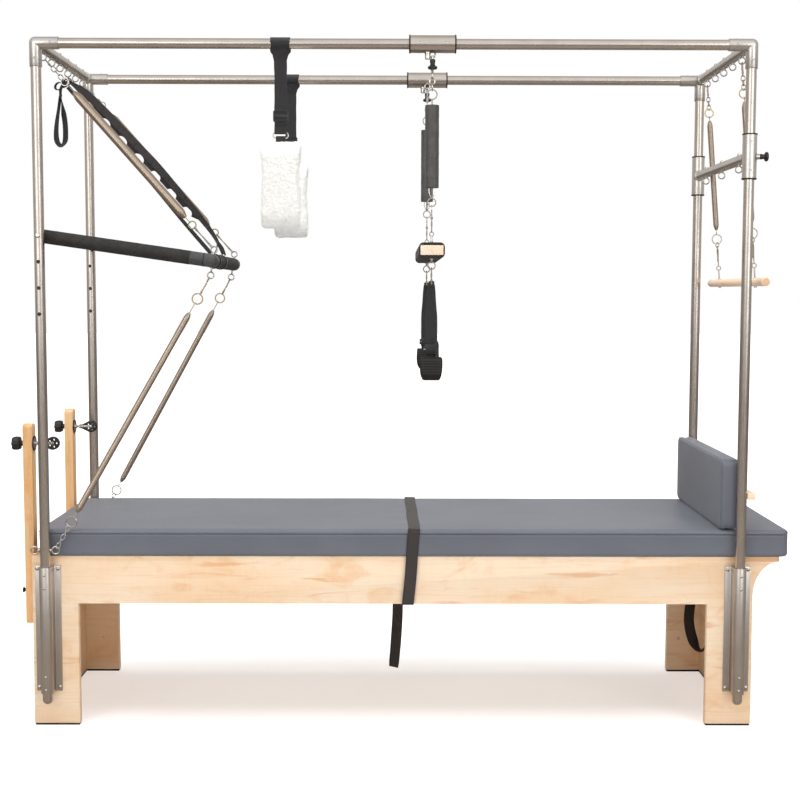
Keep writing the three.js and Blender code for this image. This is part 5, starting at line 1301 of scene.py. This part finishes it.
form = cushion(BED_LOW, BED_HIGH, BED_EDGE, (9, 9, 7), [SEAM + d for d in (-3.2, -2, -1.2, -.6, 0, .6, 1.2, 2, 3.2)])
for spots in form.points:
    round_corners(spots, BED_MIDDLE, BED_HALF, (0, 1), 24)
    x, y, z = spots.T.copy()
    top = np.clip((z - 600) / 37.3, 0, 1)
    spots[:, 2] += (bed_top(x, y) - BED_HIGH[2]) * top ** 2
    from_strap = x - strap_x_at(y, z)
    bulge = 1.3 * np.clip(1 - ((z - 594) / 43) ** 2, 0, 1) * (1 + 0.5 * noise_at(x * .011, y * .011, z * .02))
    pucker = np.sin(x * 0.33 + 2 * np.sin(x * 0.041)) * (0.14 + 0.5 * bell(from_strap, 90)) * bell(z - SEAM, 13)
    seam = 1.7 * bell(z - SEAM, 1.5) - 0.5 * bell(z - SEAM - 5, 3.5) - 0.4 * bell(z - SEAM + 5.5, 4)
    for k in (0, 1):
        out = spots[:, k] - BED_MIDDLE[k]
        on = np.clip((np.abs(out) - (BED_HALF[k] - BED_EDGE)) / BED_EDGE, 0, 1) * np.sign(out)
        held = 1.2 * bell(from_strap, 22) if k else 0
        spots[:, k] -= on * (bulge + seam + pucker * 0.6 + held)
    ripple = noise_at(x * .006, y * .010, 4.2)
    spots[:, 2] += top ** 2 * (0.45 * ripple + 0.35 * bell(from_strap, 60) * np.sin(y * 0.05))
    np.clip(spots[:, 2], BED_LOW[2], 641.2, out=spots[:, 2])
bed = node_piece("mattress", form, [grey_vinyl], "base", 60)
ring = [(u + BED_MIDDLE[0], v, SEAM) for u, v in round_outline(BED_HALF[0] - 1.7, BED_HALF[1] - 1.7, 23, 10)]
welt = Form().wire(even_ring(ring, 9.0), 0.75, 8, True)
piece("mattress_welt", welt, [grey_seam], "base", ())

# Strap round bed and mattress, and its hanging tail
form = Form()
loop = even_ring([(0.0, u, 518.9 + v) for u, v in round_outline(331.7, 123.6, 6, 4)], 7.0)
for spot in loop:
    _, y, z = spot
    if z > 600:
        spot[2] = min(spot[2], bed_top(strap_x_at(y, z), y) + 1.5) if abs(y) < 322 else spot[2] - 1.0
    spot[0] = strap_x_at(y, z) + 0.9 * sin(y * 0.021 + z * 0.03)
form.belt(loop, X, 38, 2.2, 0, True)
line = smooth_path([(23, 201.1, 396), (20.4, 201.1, 340), (17, 201.4, 290), (15.4, 200.6, 230), (12, 201.1, 170),
                    (7.5, 202.0, 106), (2, 200.4, 42)], 9)
marks = np.linspace(0, 1, len(line))
line[:, 1] += 5.0 * np.sin(marks * 7.0) * marks
turn = 0.35 * np.sin(marks * 5.0) * marks
across = np.stack([np.cos(turn), np.sin(turn), 0 * turn], axis=1)
form.belt(line, across, 38 - 3.5 * np.clip(marks - 0.93, 0, 1) / 0.07, 2.2)
for u in (-17.0, 17.0):
    for k in range(30):
        z = 606 - k * 7
        x = strap_x_at(-331, z) + u
        form.rod((x, -333.0, z), (x, -333.0, z - 4), 0.4, 6, 1)
node_piece("mattress_strap", form, [strap_bed, strap_x], "base", 50)

line = smooth_path([(1052, 100, 532), (1049, 100, 330), (1043, 100, 235), (1062, 100, 160), (1093, 100, 137),
                    (1112, 100, 200), (1118, 100, 330), (1120, 100, 532)], 9)
marks = np.linspace(0, 1, len(line))
turn = radians(90) * np.interp(marks, [0, 0.4, 0.55, 1], [0.1, 0.12, 0.8, 1.0])
line[:, 1] += 4 * np.sin(marks * pi * 3)
across = np.stack([np.cos(turn), np.sin(turn), 0 * turn], axis=1)
node_piece("stowed_strap", Form().belt(line, across, 38, 2.2), [strap_z], "base", 50)

# Backrest: padded face on a covered board, held by the posts and a batten behind them
low, high = np.array([1040.7, -334, 641.1]), np.array([1093.5, 334, 866.0])
form = cushion(low, high, 8, (7, 9, 9))
middle, half = (low + high) / 2, (high - low) / 2
for spots in form.points:
    round_corners(spots, middle, half, (1, 2), 20)
    x, y, z = spots.T.copy()
    face = np.clip((middle[0] + 4 - x) / 20, 0, 1)
    swell = np.sqrt(np.clip((1 - (y / 334) ** 4) * (1 - ((z - middle[2]) / half[2]) ** 4), 0, 1))
    ripple = noise_at(y * .012, z * .016, 1.7)
    spots[:, 0] -= face * (2.5 * swell + 0.35 * ripple * swell)
    dent = 2.6 * bell(x - 1064.5, 2.2) - 0.5 * bell(x - 1052, 6)
    pucker = 0.4 * np.sin((y + z) * 0.21 + 2 * np.sin(y * 0.03)) * bell(x - 1058, 7)
    for k in (1, 2):
        out = spots[:, k] - middle[k]
        spots[:, k] -= np.sign(out) * np.clip((np.abs(out) - (half[k] - 8)) / 8, 0, 1) * (dent + pucker)
rest = node_piece("backrest_pad", form, [grey_vinyl], "backrest", 60)
welt = Form()
for finish, x, inset, wire in ((0, 1043.6, 1.3, 1.3), (1, 1064.5, 2.9, 1.0)):
    ring = [(x, u, middle[2] + v) for u, v in round_outline(half[1] - inset, half[2] - inset, 19, 9)]
    welt.wire(even_ring(ring, 6.0), wire, 8, True, finish)
piece("backrest_welt", welt, [grey_vinyl, grey_seam], "backrest", ())

form = Form()
form.pillar(round_outline(12, 10.5, 3.2, 5), lambda u, v, w: (1128.3 + u, w, 751.5 + v), -365, 365, 2.0)
for side in (-1, 1):
    form.pillar(round_outline(15, 10.5, 2.0, 4), lambda u, v, w, side=side: (w, side * 250 + u, 751.5 + v),
                1092.0, 1117.0, 0.8)
    form.turned((1140.3, side * 250, 751.5), X, [(-0.4, 5.4), (0.5, 5.4), (0.8, 4.6), (0.3, 3.0)], 18, 1)
node_piece("backrest_batten", form, [maple_back, bright], "backrest")

# Risers with their studs, star knobs and pulleys
for name, side in SIDES:
    y = side * RISER_Y
    outline = [(-22, 326), (22, 326)]
    for a in np.linspace(0, 180, 29):
        u = cos(radians(a))
        v = sin(radians(a))
        outline.append((22 * np.sign(u) * abs(u) ** 0.8, 970 - 17 + 17 * v ** 0.9))
    slot = [(u, CLAMP_Z + (61 if v > 0 else -61) + v) for u, v in circle(6.3, 32)]
    form = Form().plate(outline, [slot, circle(6.0, 24, 0, PULLEY_Z)], lambda u, v, w: (-1166.3 + w, y + u, v), 30,
                        1.6)
    node_piece(f"riser_{name}", form, [maple_riser])

    face = -1181.6
    lobes = circle(1, 96) * (20.5 + 2.6 * np.cos(6 * np.arange(96) * tau / 96))[:, None]
    rings = []
    for s, size in ((11, .70), (11.4, .78), (13, .90), (15.5, .97), (19, 1.0), (30, 1.0), (33.5, .97), (36, .90),
                    (37.6, .78), (38, .66)):
        rings.append([(face - s, y + u * size, PULLEY_Z + v * size) for u, v in lobes])
    form = Form().loft(rings)
    form.turned((face, y, PULLEY_Z), -X, [(0, 8.4), (0.5, 9), (8, 8.6), (12, 10.5)], 32)
    form.turned((face - 37.6, y, PULLEY_Z), -X, [(0, 9), (0.6, 9), (1.0, 8.2), (1.3, 6.0), (1.6, 0.4)], 28)
    node_piece(f"star_knob_{name}", form, [black_plastic], angle=26)

    axle = point(-1090, y, PULLEY_Z)
    inner = -1151.0
    form = Form()
    form.rod((-1184, y, PULLEY_Z), (inner + 1, y, PULLEY_Z), 4.9, 20, 1)
    form.turned((inner - 0.1, y, PULLEY_Z), X, [(0, 23.4), (0.5, 24), (2.5, 24), (3.0, 23.4), (3.02, 10)], 40, 0)
    form.turned((inner + 2.8, y, PULLEY_Z), X, [(0, 16), (0.6, 15.4), (0.62, 6)], 36, 1)
    form.turned((inner + 2.8, y, PULLEY_Z), X, [(0, 7.4), (5.5, 7.2), (7.5, 5.4), (9.2, 5.2), (10.5, 3.6)], 24, 1)
    ring = point(inner + 3 + 22, y, PULLEY_Z)
    form.wire([ring + (8.6 if u < 0 else 6.4) * u * X + 6.2 * v * Z for u, v in circle(1, 29)], 2.0, 10, True, 1)
    tip = axle - X * 33
    bow = [tip + point(u, v, 0) for u, v in ((3.5, -5.6), (-2.4, -5.0), (-4.6, -2.4), (-5.2, 0), (-4.6, 2.4),
                                             (-2.4, 5.0), (3.5, 5.6))]
    form.wire(smooth_path(bow, 5), 2.1, 10, False, 1)
    form.rod(tip - Y * 7.6, tip + Y * 7.6, 2.6, 16, 1)
    lean = np.degrees(np.arccos((21 - 6) / 33))
    pear = arc(21, lean - 180, 180 - lean, 49) + arc(6, 180 - lean, 180 + lean, 13, -33)
    lights = [circle(3.6, 20, u, v) for u, v in circle(12, 5)]
    for way in (-1, 1):
        form.plate(pear, lights, lambda u, v, w, way=way: axle + point(u, way * 5.85 + w, v), 2.5, 0.6, 0)
        form.box(axle + point(-36, way * 7.6 - 0.7, -3.6), axle + point(4, way * 7.6 + 0.7, 3.6), 0.6, 1)
        form.turned(axle + Y * way * 7.4, Y * way, [(0, 5.6), (1.4, 5.6), (2.6, 4.4), (3.0, 2.0)], 24, 1)
    form.rod(axle - Y * 7.4, axle + Y * 7.4, 3.9, 20, 1)
    node_piece(f"pulley_block_{name}", form, [black_plastic, bright])
    wheel = Form().plate(circle(17.4, 64), [circle(4.3, 24), *lights], lambda u, v, w: axle + point(u, w, v), 7.8, 0.4)
    groove = Form().hoop(axle, Y, 19.2, 3.6, 0, 64, 14)
    node_piece(f"pulley_sheave_{name}", wheel.carve(groove), [elbow_rubber])
